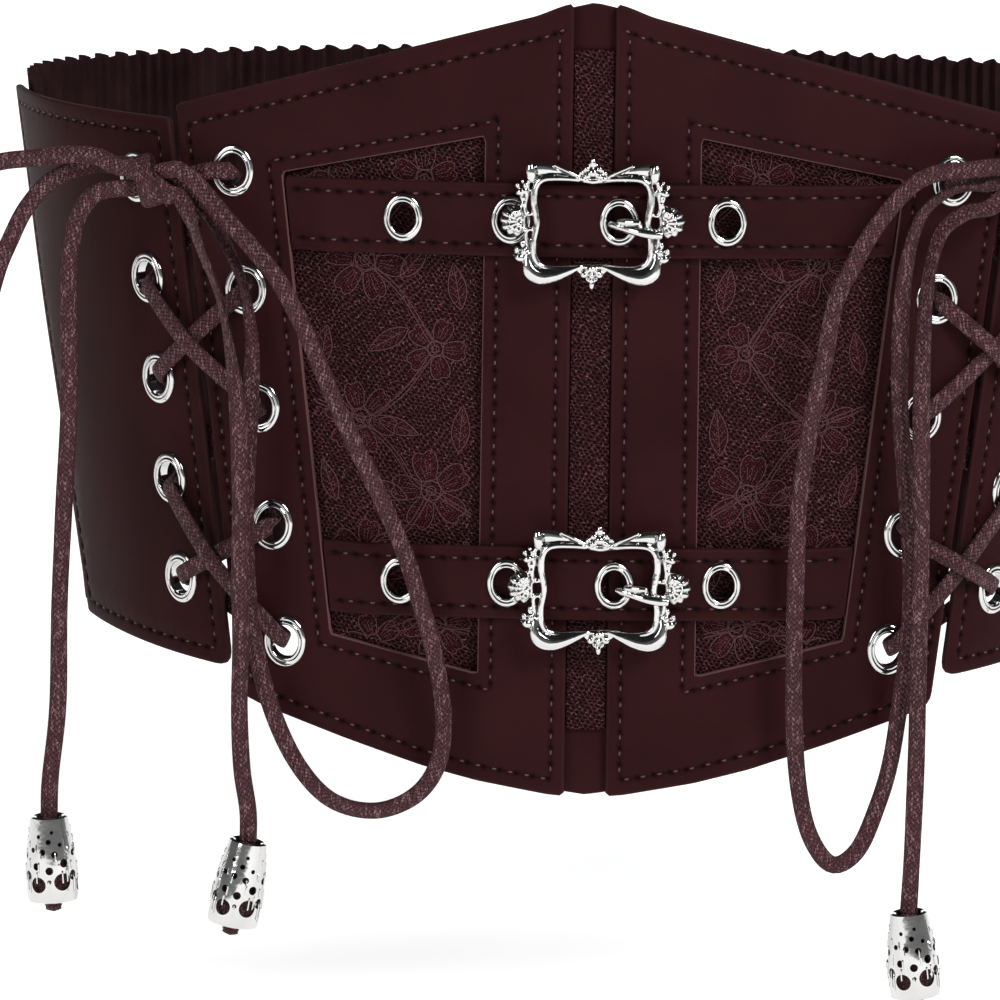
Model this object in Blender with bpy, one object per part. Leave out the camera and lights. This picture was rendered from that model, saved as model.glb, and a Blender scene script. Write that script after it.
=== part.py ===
# Corset belt: a pointed leather front with lace windows, two side panels laced
# to it, a shirred elastic back, two buckled straps and two hanging bows.
# Metres, +Z up, front towards -Y. Left and right are as seen from the front: the
# left side is at -X.
# The origin is the waist's centre at mid height.

import math

import bmesh
import bpy
from mathutils import Vector
from mathutils.geometry import delaunay_2d_cdt

# Waist ring, seen from above
FRONT_RADIUS = 0.420
SIDE_RADIUS = 0.100
REAR_CORNER_RADIUS = 0.070
SIDE_HEADING = math.radians(33.0)
REAR_CORNER_TURN = math.radians(60.0)
BEND_MARGIN = 0.001

# Front panels
FRONT_HALF_WIDTH = 0.0975
FRONT_FLARE = 0.12
FRONT_PEAK_TOP = 0.0995
FRONT_PEAK_BOTTOM = 0.1011
FRONT_CORNER_TOP = 0.0717
FRONT_CORNER_BOTTOM = 0.0760
PANEL_THICKNESS = 0.0022
PLACKET_HALF_WIDTH = 0.0052
FRONT_FOLD_PITCH = 0.0150

# Side panels
LACING_GAP = 0.0021
SIDE_TOP = 0.0682
SIDE_BOTTOM = 0.0711
SIDE_BACK_TOP = 0.0697
SIDE_BACK_BOTTOM = 0.0661
SIDE_LENGTH_TOP = 0.083
SIDE_LENGTH_BOTTOM = 0.063
SIDE_CORNER_RADIUS = 0.004
SIDE_CORNER_STEPS = 3
SIDE_FOLD_PITCH = 0.0091

# Windows and the lace behind them
WINDOW_INNER_TOP = (0.0270, 0.0660)
WINDOW_OUTER_TOP = (0.0782, 0.0556)
WINDOW_OUTER_BOTTOM = (0.0649, -0.0610)
WINDOW_INNER_BOTTOM = (0.0275, -0.0700)
LACE_OVERLAP = 0.004
LACE_THICKNESS = 0.0010
PLACKET_BASE_HALF_WIDTH = 0.011
PLACKET_BASE_THICKNESS = 0.0015
PLACKET_SHOULDER_TOP = 0.0025
PLACKET_SHOULDER_BOTTOM = 0.0016
PLACKET_LACE_THICKNESS = 0.0010
PLACKET_LACE_TOP = 0.088
PLACKET_LACE_BOTTOM = 0.084

# Elastic back
ELASTIC_TOP = 0.0720
ELASTIC_BOTTOM = 0.0668
ELASTIC_THICKNESS = 0.0012
ELASTIC_FOLD_PITCH = 0.0088
ELASTIC_FOLD_DEPTH = 0.0024
ELASTIC_OVERLAP = 0.010

# Straps
STRAP_WIDTH = 0.0184
STRAP_THICKNESS = 0.0020
STRAP_TUCK_LENGTH = 0.012
STRAP_TUCK_SINK = 0.0001
STRAP_TUCK_FOLDS = 4
STRAP_EYELET_FIRST = -0.047
STRAP_EYELET_PITCH = 0.0268
STRAP_EYELET_COUNT = 4
STRAP_EYELET_HEIGHT = 0.0122
STRAP_EYELET_HOLE = 0.0078

# Lacing eyelets
LACING_ROWS = 5
FRONT_EYELET_TOP = 0.0556
FRONT_EYELET_PITCH = 0.02975
FRONT_EYELET_INSET = 0.0133
SIDE_EYELET_TOP = 0.0525
SIDE_EYELET_PITCH = 0.0255
SIDE_EYELET_INSET = 0.0130
LACING_EYELET_HEIGHT = 0.0133
LACING_EYELET_HOLE = 0.0084
EYELET_WIDTH_SHARE = 0.82
EYELET_WALL = 0.0007
EYELET_CREST = 0.0008
EYELET_SIDES = 10

# Buckles, cast in one with their ornament
BUCKLE_HALF_WIDTH = 0.0226
BUCKLE_HALF_HEIGHT = 0.0166
BUCKLE_RELIEF = 0.0042
BUCKLE_BAR_SHARE = 0.55
PRONG_WIDTH = 0.0022
PRONG_THICKNESS = 0.0015
PRONG_REACH = 0.0136
PRONG_DROP = 0.0040
PRONG_TIP_SHARE = 0.6

# Cords and beads
CORD_WIDTH = 0.0044
CORD_PITCH = 2.95
CURVE_STEPS = 12
LACING_THICKNESS = 0.0015
LACING_TURN = 0.0015
LACING_STEEPNESS = 0.70
LACING_LIFT = 0.0024
LACING_REST_OVER = 0.00195
LACING_REST_UNDER = 0.00210
KNOT_OFFSET = 0.0072
LEFT_KNOT_HEIGHT = 0.0530
RIGHT_KNOT_HEIGHT = 0.0565
KNOT_HALF_SIZE = (0.0050, 0.0070, 0.0065)
KNOT_CHAMFER = 0.0017
KNOT_STANDOFF = 0.0103
KNOT_LACING_DEPTH = 0.0053
BEAD_LENGTH = 0.0215
BEAD_TOP_RADIUS = 0.0045
BEAD_BOTTOM_RADIUS = 0.0065
BEAD_WALL = 0.0011
BEAD_SIDES = 12
BEAD_HOLE_SIDES = 6

# Clearances between pieces
GAP = 0.0003
MILLIMETRE = 0.001
MERGE_DISTANCE = 0.000001
ROUND_DEGREES = 50.0

# Top edge of a front panel: share of the half width, share of the rise to the peak
TOP_EDGE = (
    (0.135, 0.88),
    (0.080, 0.965),
)

# Bottom edge of a front panel: share of the half width, share of the drop to the point
BOTTOM_EDGE = (
    (0.985, 0.09),
    (0.930, 0.18),
    (0.700, 0.46),
    (0.470, 0.72),
    (0.310, 0.86),
    (0.110, 0.985),
)

# Straps: name, height of the centre line
STRAPS = (
    ("upper", 0.0455),
    ("lower", -0.0462),
)

# Buckles: strap, centre along the front, height above the strap's line
BUCKLES = (
    ("upper", 0.0000, 0.0000),
    ("lower", 0.0029, -0.0006),
)

# Right half of a buckle from its crown down to its drop, in shares of its half
# sizes: outer across, outer up, inner across, inner up, relief
BUCKLE_OUTLINE = (
    (0.000, 0.958, 0.000, 0.596, 1.00),
    (0.098, 0.892, 0.088, 0.608, 0.95),
    (0.159, 0.759, 0.190, 0.633, 0.80),
    (0.420, 0.843, 0.376, 0.651, 0.80),
    (0.642, 0.928, 0.513, 0.651, 1.00),
    (0.735, 0.855, 0.584, 0.602, 1.00),
    (0.726, 0.639, 0.619, 0.482, 0.85),
    (0.841, 0.494, 0.628, 0.386, 0.80),
    (0.765, 0.380, 0.615, 0.277, 0.80),
    (0.823, 0.301, 0.611, 0.181, 0.90),
    (0.942, 0.175, 0.602, 0.090, 0.80),
    (1.000, 0.000, 0.597, 0.000, 0.62),
    (0.942, -0.181, 0.602, -0.108, 0.62),
    (0.796, -0.277, 0.615, -0.217, 0.62),
    (0.858, -0.434, 0.619, -0.325, 0.80),
    (0.832, -0.542, 0.624, -0.434, 0.80),
    (0.735, -0.633, 0.615, -0.530, 0.85),
    (0.721, -0.783, 0.558, -0.608, 1.00),
    (0.646, -0.892, 0.478, -0.669, 1.00),
    (0.522, -0.904, 0.363, -0.681, 0.95),
    (0.186, -0.771, 0.177, -0.657, 0.80),
    (0.097, -0.807, 0.088, -0.645, 0.90),
    (0.000, -1.000, 0.000, -0.639, 1.00),
)

# Cross-section of a buckle's frame: share from inner to outer edge, share of the relief
BUCKLE_SECTION = ((0.0, 0.0), (0.0, 0.55), (0.5, 1.0), (1.0, 0.55), (1.0, 0.0))

# Prong from the bar to its tip: share of the reach, share of the drop
PRONG_PROFILE = ((0.0, 0.0), (0.38, 0.0), (0.72, 0.42), (1.0, 1.0))

# Bead from its top rim down the outside and up the inside: share of the length,
# share of the way from top to bottom radius, wall thicknesses inwards
BEAD_PROFILE = (
    (0.00, 0.00, 0.0),
    (0.22, 0.45, 0.0),
    (0.58, 0.92, 0.0),
    (0.86, 1.00, 0.0),
    (1.00, 0.80, 0.0),
    (1.00, 0.80, 1.0),
    (0.60, 0.90, 1.0),
    (0.10, 0.00, 1.45),
)

# Holes pierced in a bead: turn round the axis, share of the length, radius
BEAD_HOLES = (
    (250.0, 0.76, 0.0018),
    (298.0, 0.74, 0.0021),
    (25.0, 0.70, 0.0018),
    (120.0, 0.66, 0.0018),
)

# Routes of the bows' cords in millimetres from the knot's centre: towards the
# centre front, forwards, up
OUTER_LOOP = (
    (-5.3, 4.2, 3.8), (-7.6, 4.2, 3.8), (-13.0, 4.4, 6.4), (-20.0, 4.4, 6.8),
    (-28.0, 4.0, 5.8), (-38.6, 3.4, 4.2), (-48.4, 2.8, -1.0), (-54.4, 2.4, -13.0),
    (-57.4, 2.0, -35.0), (-58.4, 1.6, -57.0), (-58.4, 1.2, -82.0), (-56.4, 1.0, -98.0),
    (-50.8, 0.8, -106.0), (-45.6, 0.6, -99.0), (-43.8, 0.4, -82.0), (-43.0, 0.0, -57.0),
    (-41.3, -0.4, -37.0), (-38.5, -0.6, -24.0), (-35.1, -0.8, -15.5),
    (-30.8, -0.9, -7.0), (-24.3, -1.0, 0.0), (-15.0, -1.0, 3.6), (-8.4, -1.0, 3.8),
    (-5.3, -1.0, 3.8),
)
OUTER_TAIL = (
    (-5.3, 1.8, -1.8), (-7.6, 1.8, -1.8), (-13.2, 1.8, -3.0), (-17.0, 1.7, -7.4),
    (-19.2, 1.6, -14.0), (-20.3, 1.5, -26.1), (-20.1, 1.4, -39.3), (-20.2, 1.3, -58.5),
    (-21.4, 1.2, -82.7), (-22.5, 1.1, -107.9), (-22.9, 1.0, -133.6),
    (-24.8, 1.0, -152.4), (-25.1, 1.0, -162.4), (-24.0, 1.0, -184.6),
)
LEFT_INNER_LOOP = (
    (5.3, 3.9, 3.2), (7.6, 3.9, 3.2), (12.5, 6.0, -0.4), (19.0, 8.9, -7.6),
    (27.0, 11.4, -16.0), (33.1, 12.8, -23.4), (40.1, 13.6, -36.6), (48.7, 13.8, -56.4),
    (58.3, 13.8, -76.2), (64.4, 13.8, -90.0), (68.4, 13.8, -101.9),
    (72.5, 13.6, -116.7), (75.0, 13.2, -132.1), (73.8, 12.8, -144.6),
    (68.1, 12.4, -153.2), (58.1, 11.8, -157.4), (47.1, 11.0, -155.1),
    (38.6, 10.2, -146.5), (32.0, 9.4, -133.1), (27.5, 8.8, -116.7), (25.4, 8.6, -100.9),
    (24.8, 8.5, -81.1), (25.7, 8.4, -56.4), (26.0, 7.8, -38.6), (23.1, 6.2, -23.4),
    (17.0, 3.4, -11.4), (12.6, 1.6, -5.0), (7.6, -0.6, 0.2), (5.3, -0.6, 0.2),
)
LEFT_INNER_TAIL = (
    (5.3, 3.9, -3.3), (7.6, 3.9, -3.3), (10.8, 8.0, -8.6), (13.6, 10.6, -16.0),
    (18.2, 11.8, -27.8), (21.5, 13.4, -43.5), (23.1, 13.9, -57.4), (23.8, 14.0, -77.1),
    (23.8, 14.0, -95.9), (24.0, 14.0, -114.7), (23.8, 14.0, -131.5),
    (24.5, 14.0, -146.4), (26.1, 14.0, -157.3), (26.2, 14.0, -165.2),
    (22.2, 14.0, -186.3),
)
RIGHT_INNER_LOOP = (
    (5.3, 3.9, 3.2), (7.6, 3.9, 3.2), (12.0, 6.8, 3.5), (18.0, 9.0, 3.0),
    (25.0, 10.2, 2.4), (30.8, 11.0, 0.0), (36.0, 11.8, -5.0), (42.0, 12.6, -13.0),
    (46.8, 13.2, -21.9), (50.6, 13.6, -30.6), (52.9, 13.8, -44.4), (56.1, 13.8, -61.2),
    (58.4, 13.8, -79.0), (58.9, 13.8, -95.7), (59.1, 13.7, -115.5),
    (58.8, 13.5, -135.2), (57.3, 13.2, -153.0), (54.1, 12.8, -165.8),
    (48.4, 12.2, -173.1), (42.0, 11.6, -169.3), (37.2, 10.8, -157.9),
    (34.2, 10.0, -147.1), (32.2, 9.4, -133.2), (30.2, 8.9, -116.5), (30.0, 8.6, -96.7),
    (31.9, 8.5, -75.0), (33.6, 8.4, -56.3), (33.9, 8.2, -37.5), (32.7, 7.6, -20.9),
    (29.0, 6.6, -8.6), (21.5, 5.4, -2.6), (13.6, 3.6, -1.6), (7.6, -0.6, 0.2),
    (5.3, -0.6, 0.2),
)
RIGHT_INNER_TAIL = (
    (5.3, 3.9, -3.3), (7.6, 3.9, -3.3), (12.5, 7.8, -6.6), (18.5, 11.0, -7.6),
    (24.6, 12.8, -12.6), (27.5, 13.8, -23.9), (28.4, 14.1, -37.7), (28.6, 14.1, -55.1),
    (28.1, 14.1, -76.5), (27.8, 14.1, -96.3), (27.9, 14.1, -111.2),
    (27.9, 14.1, -127.1), (27.9, 14.1, -144.0), (28.2, 14.1, -160.9),
    (28.6, 14.1, -174.8), (29.0, 14.1, -184.7), (26.8, 14.1, -206.0),
)

# Lacing of one side in the order that the cord runs it: front eyelet row that it
# goes into, side eyelet row that it comes out of, whether it is on its way down
LACING_ORDER = (
    (0, 1, True),
    (2, 3, True),
    (4, 4, False),
    (3, 2, False),
    (1, 0, False),
)

LEATHER_FACE = 0.0
LEATHER_BACK = LEATHER_FACE - PANEL_THICKNESS
LACE_FACE = LEATHER_BACK - GAP
STRAP_BACK = LEATHER_FACE + GAP
STRAP_FACE = STRAP_BACK + STRAP_THICKNESS


def clear_scene():
    for item in list(bpy.data.objects):
        bpy.data.objects.remove(item, do_unlink=True)


def finish(name, colour, roughness, metallic):
    """A Principled material with one colour, roughness and metallic value."""
    material = bpy.data.materials.new(name)
    material.use_nodes = True
    shader = material.node_tree.nodes["Principled BSDF"]
    shader.inputs["Base Color"].default_value = (*colour, 1.0)
    shader.inputs["Roughness"].default_value = roughness
    shader.inputs["Metallic"].default_value = metallic
    return material


# The waist's wall

def lacing_edge(height):
    """Distance along the front from its centre to the laced edge at a height."""
    return FRONT_HALF_WIDTH + FRONT_FLARE * height


def ring_arcs(height):
    """The right half of the ring at a height, as (length, radius) from front to back."""
    front_length = lacing_edge(height) - BEND_MARGIN
    front_heading = front_length / FRONT_RADIUS
    bend_length = LACING_GAP + 2.0 * BEND_MARGIN
    bend_turn = SIDE_HEADING - front_heading
    bend_radius = bend_length / bend_turn
    side_turn = math.radians(90.0) - SIDE_HEADING
    half_width = FRONT_RADIUS * math.sin(front_heading)
    half_width += bend_radius * (math.sin(SIDE_HEADING) - math.sin(front_heading))
    half_width += SIDE_RADIUS * (1.0 - math.sin(SIDE_HEADING))
    rear_turn = math.radians(90.0) - REAR_CORNER_TURN
    after_corner = half_width - REAR_CORNER_RADIUS * (1.0 - math.cos(REAR_CORNER_TURN))
    rear_radius = after_corner / math.sin(rear_turn)
    return (
        (front_length, FRONT_RADIUS),
        (bend_length, bend_radius),
        (side_turn * SIDE_RADIUS, SIDE_RADIUS),
        (REAR_CORNER_TURN * REAR_CORNER_RADIUS, REAR_CORNER_RADIUS),
        (rear_turn * rear_radius, rear_radius),
    )


def half_girth(height):
    return sum(length for length, radius in ring_arcs(height))


def plan(along, height):
    """Place and heading of the wall's face, a distance along from the centre front."""
    across = 0.0
    depth = 0.0
    heading = 0.0
    left = abs(along)
    for length, radius in ring_arcs(height):
        step = min(left, length)
        turned = heading + step / radius
        across += radius * (math.sin(turned) - math.sin(heading))
        depth += radius * (math.cos(heading) - math.cos(turned))
        heading = turned
        left -= step
        if left <= 0.0:
            break
    side = 1.0 if along >= 0.0 else -1.0
    return side * across, depth, side * heading


FRONT_Y = -plan(half_girth(0.0), 0.0)[1] / 2.0


def wall(along, height, out):
    """A point on the wall, out from the leather's face."""
    across, depth, heading = plan(along, height)
    return Vector((
        across + out * math.sin(heading),
        FRONT_Y + depth - out * math.cos(heading),
        height,
    ))


def wall_axes(along, height):
    """Origin, sideways, upward and outward axes of the wall's face at a place."""
    step = MILLIMETRE / 10.0
    face = LEATHER_FACE
    sideways = wall(along + step, height, face) - wall(along - step, height, face)
    rising = wall(along, height + step, face) - wall(along, height - step, face)
    sideways.normalize()
    outward = sideways.cross(rising).normalized()
    return wall(along, height, face), sideways, outward.cross(sideways), outward


# Solids

def add_solid(name, mesh_data, material, rounded=False):
    """An object from a bmesh, with its faces pointing out."""
    bmesh.ops.recalc_face_normals(mesh_data, faces=mesh_data.faces[:])
    mesh = bpy.data.meshes.new(name)
    mesh_data.to_mesh(mesh)
    mesh_data.free()
    mesh.materials.append(material)
    if rounded:
        mesh.shade_smooth()
        mesh.set_sharp_from_angle(angle=math.radians(ROUND_DEGREES))
    solid = bpy.data.objects.new(name, mesh)
    bpy.context.scene.collection.objects.link(solid)
    return solid


def add_loft(name, sections, material, looped=False, rounded=False):
    """Closed sections joined one to the next, looped or capped at both ends."""
    data = bmesh.new()
    rings = [[data.verts.new(point) for point in section] for section in sections]
    pairs = list(zip(rings, rings[1:]))
    if looped:
        pairs.append((rings[-1], rings[0]))
    for first, second in pairs:
        for index in range(len(first)):
            after = (index + 1) % len(first)
            data.faces.new((first[index], first[after], second[after], second[index]))
    if not looped:
        data.faces.new(rings[0])
        data.faces.new(reversed(rings[-1]))
    bmesh.ops.triangulate(data, faces=data.faces[:])
    return add_solid(name, data, material, rounded)


def contains(loop, point):
    """Whether a closed loop of (along, height) holds a point."""
    inside = False
    for index, (x1, y1) in enumerate(loop):
        x2, y2 = loop[index - 1]
        if (y1 > point[1]) != (y2 > point[1]):
            if point[0] < x1 + (point[1] - y1) * (x2 - x1) / (y2 - y1):
                inside = not inside
    return inside


def add_plate(name, outline, holes, rulings, face, back, material):
    """A wall cut to an outline, with holes, folded along its rulings.

    outline, holes and rulings are in (along, height); face and back give the
    distance out from the leather's face at such a place.
    """
    points = []
    edges = []
    for loop in [outline] + holes:
        start = len(points)
        points.extend(loop)
        edges.extend((start + i, start + (i + 1) % len(loop)) for i in range(len(loop)))
    for ends in rulings:
        edges.append((len(points), len(points) + 1))
        points.extend(ends)
    flat = delaunay_2d_cdt([Vector(p) for p in points], edges, [], 0, MERGE_DISTANCE)
    places = [tuple(p) for p in flat[0]]
    triangles = []
    for triangle in flat[2]:
        centre = [sum(places[i][axis] for i in triangle) / 3.0 for axis in (0, 1)]
        if contains(outline, centre) and not any(contains(hole, centre) for hole in holes):
            triangles.append(tuple(triangle))
    used = sorted({i for triangle in triangles for i in triangle})
    data = bmesh.new()
    front_verts = {i: data.verts.new(wall(*places[i], face(*places[i]))) for i in used}
    back_verts = {i: data.verts.new(wall(*places[i], back(*places[i]))) for i in used}
    open_edges = {}
    for triangle in triangles:
        data.faces.new([front_verts[i] for i in triangle])
        data.faces.new([back_verts[i] for i in reversed(triangle)])
        for index in range(3):
            pair = (triangle[index], triangle[(index + 1) % 3])
            if (pair[1], pair[0]) in open_edges:
                del open_edges[(pair[1], pair[0])]
            else:
                open_edges[pair] = True
    for first, second in open_edges:
        data.faces.new((front_verts[second], front_verts[first],
                        back_verts[first], back_verts[second]))
    bmesh.ops.triangulate(data, faces=data.faces[:])
    return add_solid(name, data, material)


def level(distance):
    """A face or back that keeps one distance out."""
    return lambda along, height: distance


def mirrored(points, side):
    """(along, height) points on the right (side 1) or the left (side -1)."""
    placed = [(side * along, height) for along, height in points]
    return placed if side > 0 else placed[::-1]


def mix(first, second, share):
    return first + (second - first) * share


def smooth_step(share):
    share = min(max(share, 0.0), 1.0)
    return share * share * (3.0 - 2.0 * share)


# Eyelets

def oval(centre, half_height):
    """An eyelet's outline in (along, height), set by its half height."""
    loop = []
    for index in range(EYELET_SIDES):
        turn = math.tau * index / EYELET_SIDES
        loop.append((
            centre[0] + EYELET_WIDTH_SHARE * half_height * math.cos(turn),
            centre[1] + half_height * math.sin(turn),
        ))
    return loop


def eyelet_hole(centre, hole_height):
    """The cut that an eyelet's tube passes through, with its clearance."""
    return oval(centre, hole_height / 2.0 + EYELET_WALL + GAP)


def add_eyelet(name, centre, height, hole_height, face, back, material):
    """A rolled eyelet: a crowned flange on the face and a tube through the wall."""
    origin, sideways, upward, outward = wall_axes(*centre)
    inner = hole_height / 2.0
    tube = inner + EYELET_WALL
    outer = height / 2.0
    profile = (
        (inner, back),
        (tube, back),
        (tube, face + GAP),
        (outer, face + GAP),
        (tube, face + GAP + EYELET_CREST),
    )
    sections = []
    for index in range(EYELET_SIDES):
        turn = math.tau * index / EYELET_SIDES
        spoke = sideways * (EYELET_WIDTH_SHARE * math.cos(turn)) + upward * math.sin(turn)
        sections.append([origin + spoke * radius + outward * out for radius, out in profile])
    add_loft(name, sections, material, looped=True, rounded=True)


def front_eyelet(row):
    height = FRONT_EYELET_TOP - row * FRONT_EYELET_PITCH
    return lacing_edge(height) - FRONT_EYELET_INSET, height


def side_eyelet(row):
    height = SIDE_EYELET_TOP - row * SIDE_EYELET_PITCH
    return lacing_edge(height) + LACING_GAP + SIDE_EYELET_INSET, height


def add_lacing_eyelets(side, word, material):
    for row in range(LACING_ROWS):
        for place, (along, height) in (("front", front_eyelet(row)), ("side", side_eyelet(row))):
            add_eyelet(f"{word}_{place}_eyelet_{row + 1}", (side * along, height),
                       LACING_EYELET_HEIGHT, LACING_EYELET_HOLE,
                       LEATHER_FACE, LEATHER_BACK - GAP, material)


# Front panels, lace and placket

def front_outline():
    """The right front panel from its inner top round to its inner bottom."""
    top_edge = lacing_edge(FRONT_CORNER_TOP)
    bottom_edge = lacing_edge(-FRONT_CORNER_BOTTOM)
    outline = [(PLACKET_HALF_WIDTH, FRONT_PEAK_TOP)]
    for width_share, rise_share in reversed(TOP_EDGE):
        height = mix(FRONT_CORNER_TOP, FRONT_PEAK_TOP, rise_share)
        outline.append((top_edge * width_share, height))
    outline.append((top_edge, FRONT_CORNER_TOP))
    outline.append((bottom_edge, -FRONT_CORNER_BOTTOM))
    for width_share, drop_share in BOTTOM_EDGE:
        height = -mix(FRONT_CORNER_BOTTOM, FRONT_PEAK_BOTTOM, drop_share)
        outline.append((bottom_edge * width_share, height))
    outline.append((PLACKET_HALF_WIDTH, -FRONT_PEAK_BOTTOM))
    return outline


def window_outline(margin=0.0):
    """The window, or the lace behind it when grown by a margin."""
    return [
        (WINDOW_INNER_TOP[0] - margin, WINDOW_INNER_TOP[1] + margin),
        (WINDOW_INNER_BOTTOM[0] - margin, WINDOW_INNER_BOTTOM[1] - margin),
        (WINDOW_OUTER_BOTTOM[0] + margin, WINDOW_OUTER_BOTTOM[1] - margin),
        (WINDOW_OUTER_TOP[0] + margin, WINDOW_OUTER_TOP[1] + margin),
    ]


def window_outer_edge(height):
    """Distance along the front to the window's outer edge at a height."""
    top, bottom = WINDOW_OUTER_TOP, WINDOW_OUTER_BOTTOM
    share = (height - bottom[1]) / (top[1] - bottom[1])
    return mix(bottom[0], top[0], share)


def upright_rulings(start, end, pitch, reach):
    """Upright fold lines between two distances along the front."""
    count = max(1, math.ceil((end - start) / pitch))
    lines = []
    for index in range(1, count):
        along = mix(start, end, index / count)
        lines.append(((along, -reach), (along, reach)))
    return lines


def add_front(side, word, leather, lace):
    reach = FRONT_PEAK_BOTTOM + LACE_OVERLAP
    rulings = upright_rulings(PLACKET_HALF_WIDTH, lacing_edge(FRONT_CORNER_TOP),
                              FRONT_FOLD_PITCH, reach)
    holes = [window_outline()]
    for row in range(LACING_ROWS):
        holes.append(eyelet_hole(front_eyelet(row), LACING_EYELET_HOLE))
    add_plate(
        f"{word}_front_panel", mirrored(front_outline(), side),
        [mirrored(hole, side) for hole in holes],
        [mirrored(line, side) for line in rulings],
        level(LEATHER_FACE), level(LEATHER_BACK), leather)
    add_plate(
        f"{word}_lace_panel", mirrored(window_outline(LACE_OVERLAP), side), [],
        [mirrored(line, side) for line in rulings],
        level(LACE_FACE), level(LACE_FACE - LACE_THICKNESS), lace)


def add_placket(leather, lace):
    """The strip behind the front's opening, and the lace laid on it."""
    half = PLACKET_BASE_HALF_WIDTH
    shoulder_top = FRONT_PEAK_TOP - PLACKET_SHOULDER_TOP
    shoulder_bottom = PLACKET_SHOULDER_BOTTOM - FRONT_PEAK_BOTTOM
    base = [(-half, shoulder_top), (-half, shoulder_bottom), (0.0, -FRONT_PEAK_BOTTOM),
            (half, shoulder_bottom), (half, shoulder_top), (0.0, FRONT_PEAK_TOP)]
    centre_line = [((0.0, -FRONT_PEAK_BOTTOM), (0.0, FRONT_PEAK_TOP))]
    base_face = LEATHER_BACK - GAP
    add_plate("placket_base", base, [], centre_line,
              level(base_face), level(base_face - PLACKET_BASE_THICKNESS), leather)
    strip = PLACKET_HALF_WIDTH - GAP
    lace_back = base_face + GAP
    lace_outline = [(-strip, PLACKET_LACE_TOP), (-strip, -PLACKET_LACE_BOTTOM),
                    (strip, -PLACKET_LACE_BOTTOM), (strip, PLACKET_LACE_TOP)]
    add_plate("placket_lace", lace_outline, [], centre_line,
              level(lace_back + PLACKET_LACE_THICKNESS), level(lace_back), lace)


# Side panels and elastic back

def side_outline():
    """The right side panel, with the corner at its laced bottom rounded."""
    def from_gap(distance, height):
        return lacing_edge(height) + LACING_GAP + distance, height

    outline = [from_gap(0.0, SIDE_TOP)]
    corner = SIDE_CORNER_RADIUS
    for index in range(SIDE_CORNER_STEPS + 1):
        turn = math.radians(90.0) * index / SIDE_CORNER_STEPS
        outline.append(from_gap(corner * (1.0 - math.cos(turn)),
                                -SIDE_BOTTOM + corner * (1.0 - math.sin(turn))))
    outline.append(from_gap(SIDE_LENGTH_BOTTOM, -SIDE_BACK_BOTTOM))
    outline.append(from_gap(SIDE_LENGTH_TOP, SIDE_BACK_TOP))
    return outline


def add_side(side, word, leather):
    reach = max(SIDE_BACK_TOP, SIDE_TOP, SIDE_BOTTOM) + LACING_GAP
    count = math.ceil(SIDE_LENGTH_TOP / SIDE_FOLD_PITCH)
    rulings = []
    for index in range(1, count):
        offset = LACING_GAP + SIDE_LENGTH_TOP * index / count
        rulings.append(((lacing_edge(-reach) + offset, -reach),
                        (lacing_edge(reach) + offset, reach)))
    holes = [eyelet_hole(side_eyelet(row), LACING_EYELET_HOLE) for row in range(LACING_ROWS)]
    add_plate(
        f"{word}_side_panel", mirrored(side_outline(), side),
        [mirrored(hole, side) for hole in holes],
        [mirrored(line, side) for line in rulings],
        level(LEATHER_FACE), level(LEATHER_BACK), leather)


def add_elastic(material):
    """One shirred band from side panel to side panel, folded to and fro."""
    def seam(height):
        share = (height + SIDE_BACK_BOTTOM) / (SIDE_BACK_TOP + SIDE_BACK_BOTTOM)
        panel_end = mix(SIDE_LENGTH_BOTTOM, SIDE_LENGTH_TOP, share)
        return lacing_edge(height) + LACING_GAP + panel_end - ELASTIC_OVERLAP

    length = 2.0 * (half_girth(0.0) - seam(0.0))
    folds = 2 * round(length / ELASTIC_FOLD_PITCH / 2.0)
    crest = LEATHER_BACK - 2.0 * GAP
    sections = []
    for index in range(2 * folds + 1):
        share = index / folds - 1.0
        side = 1.0 if share > 0.0 else -1.0
        out = crest - ELASTIC_FOLD_DEPTH * (index % 2)
        section = []
        for height, inward in ((ELASTIC_TOP, 0.0), (-ELASTIC_BOTTOM, 0.0),
                               (-ELASTIC_BOTTOM, 1.0), (ELASTIC_TOP, 1.0)):
            along = mix(half_girth(height), seam(height), abs(share))
            section.append(wall(side * along, height, out - inward * ELASTIC_THICKNESS))
        sections.append(section)
    add_loft("elastic_back", sections, material)


# Straps, buckles and prongs

def strap_eyelets(strap):
    """Centres of a strap's eyelets, left to right."""
    return [(STRAP_EYELET_FIRST + index * STRAP_EYELET_PITCH, strap[1])
            for index in range(STRAP_EYELET_COUNT)]


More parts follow.
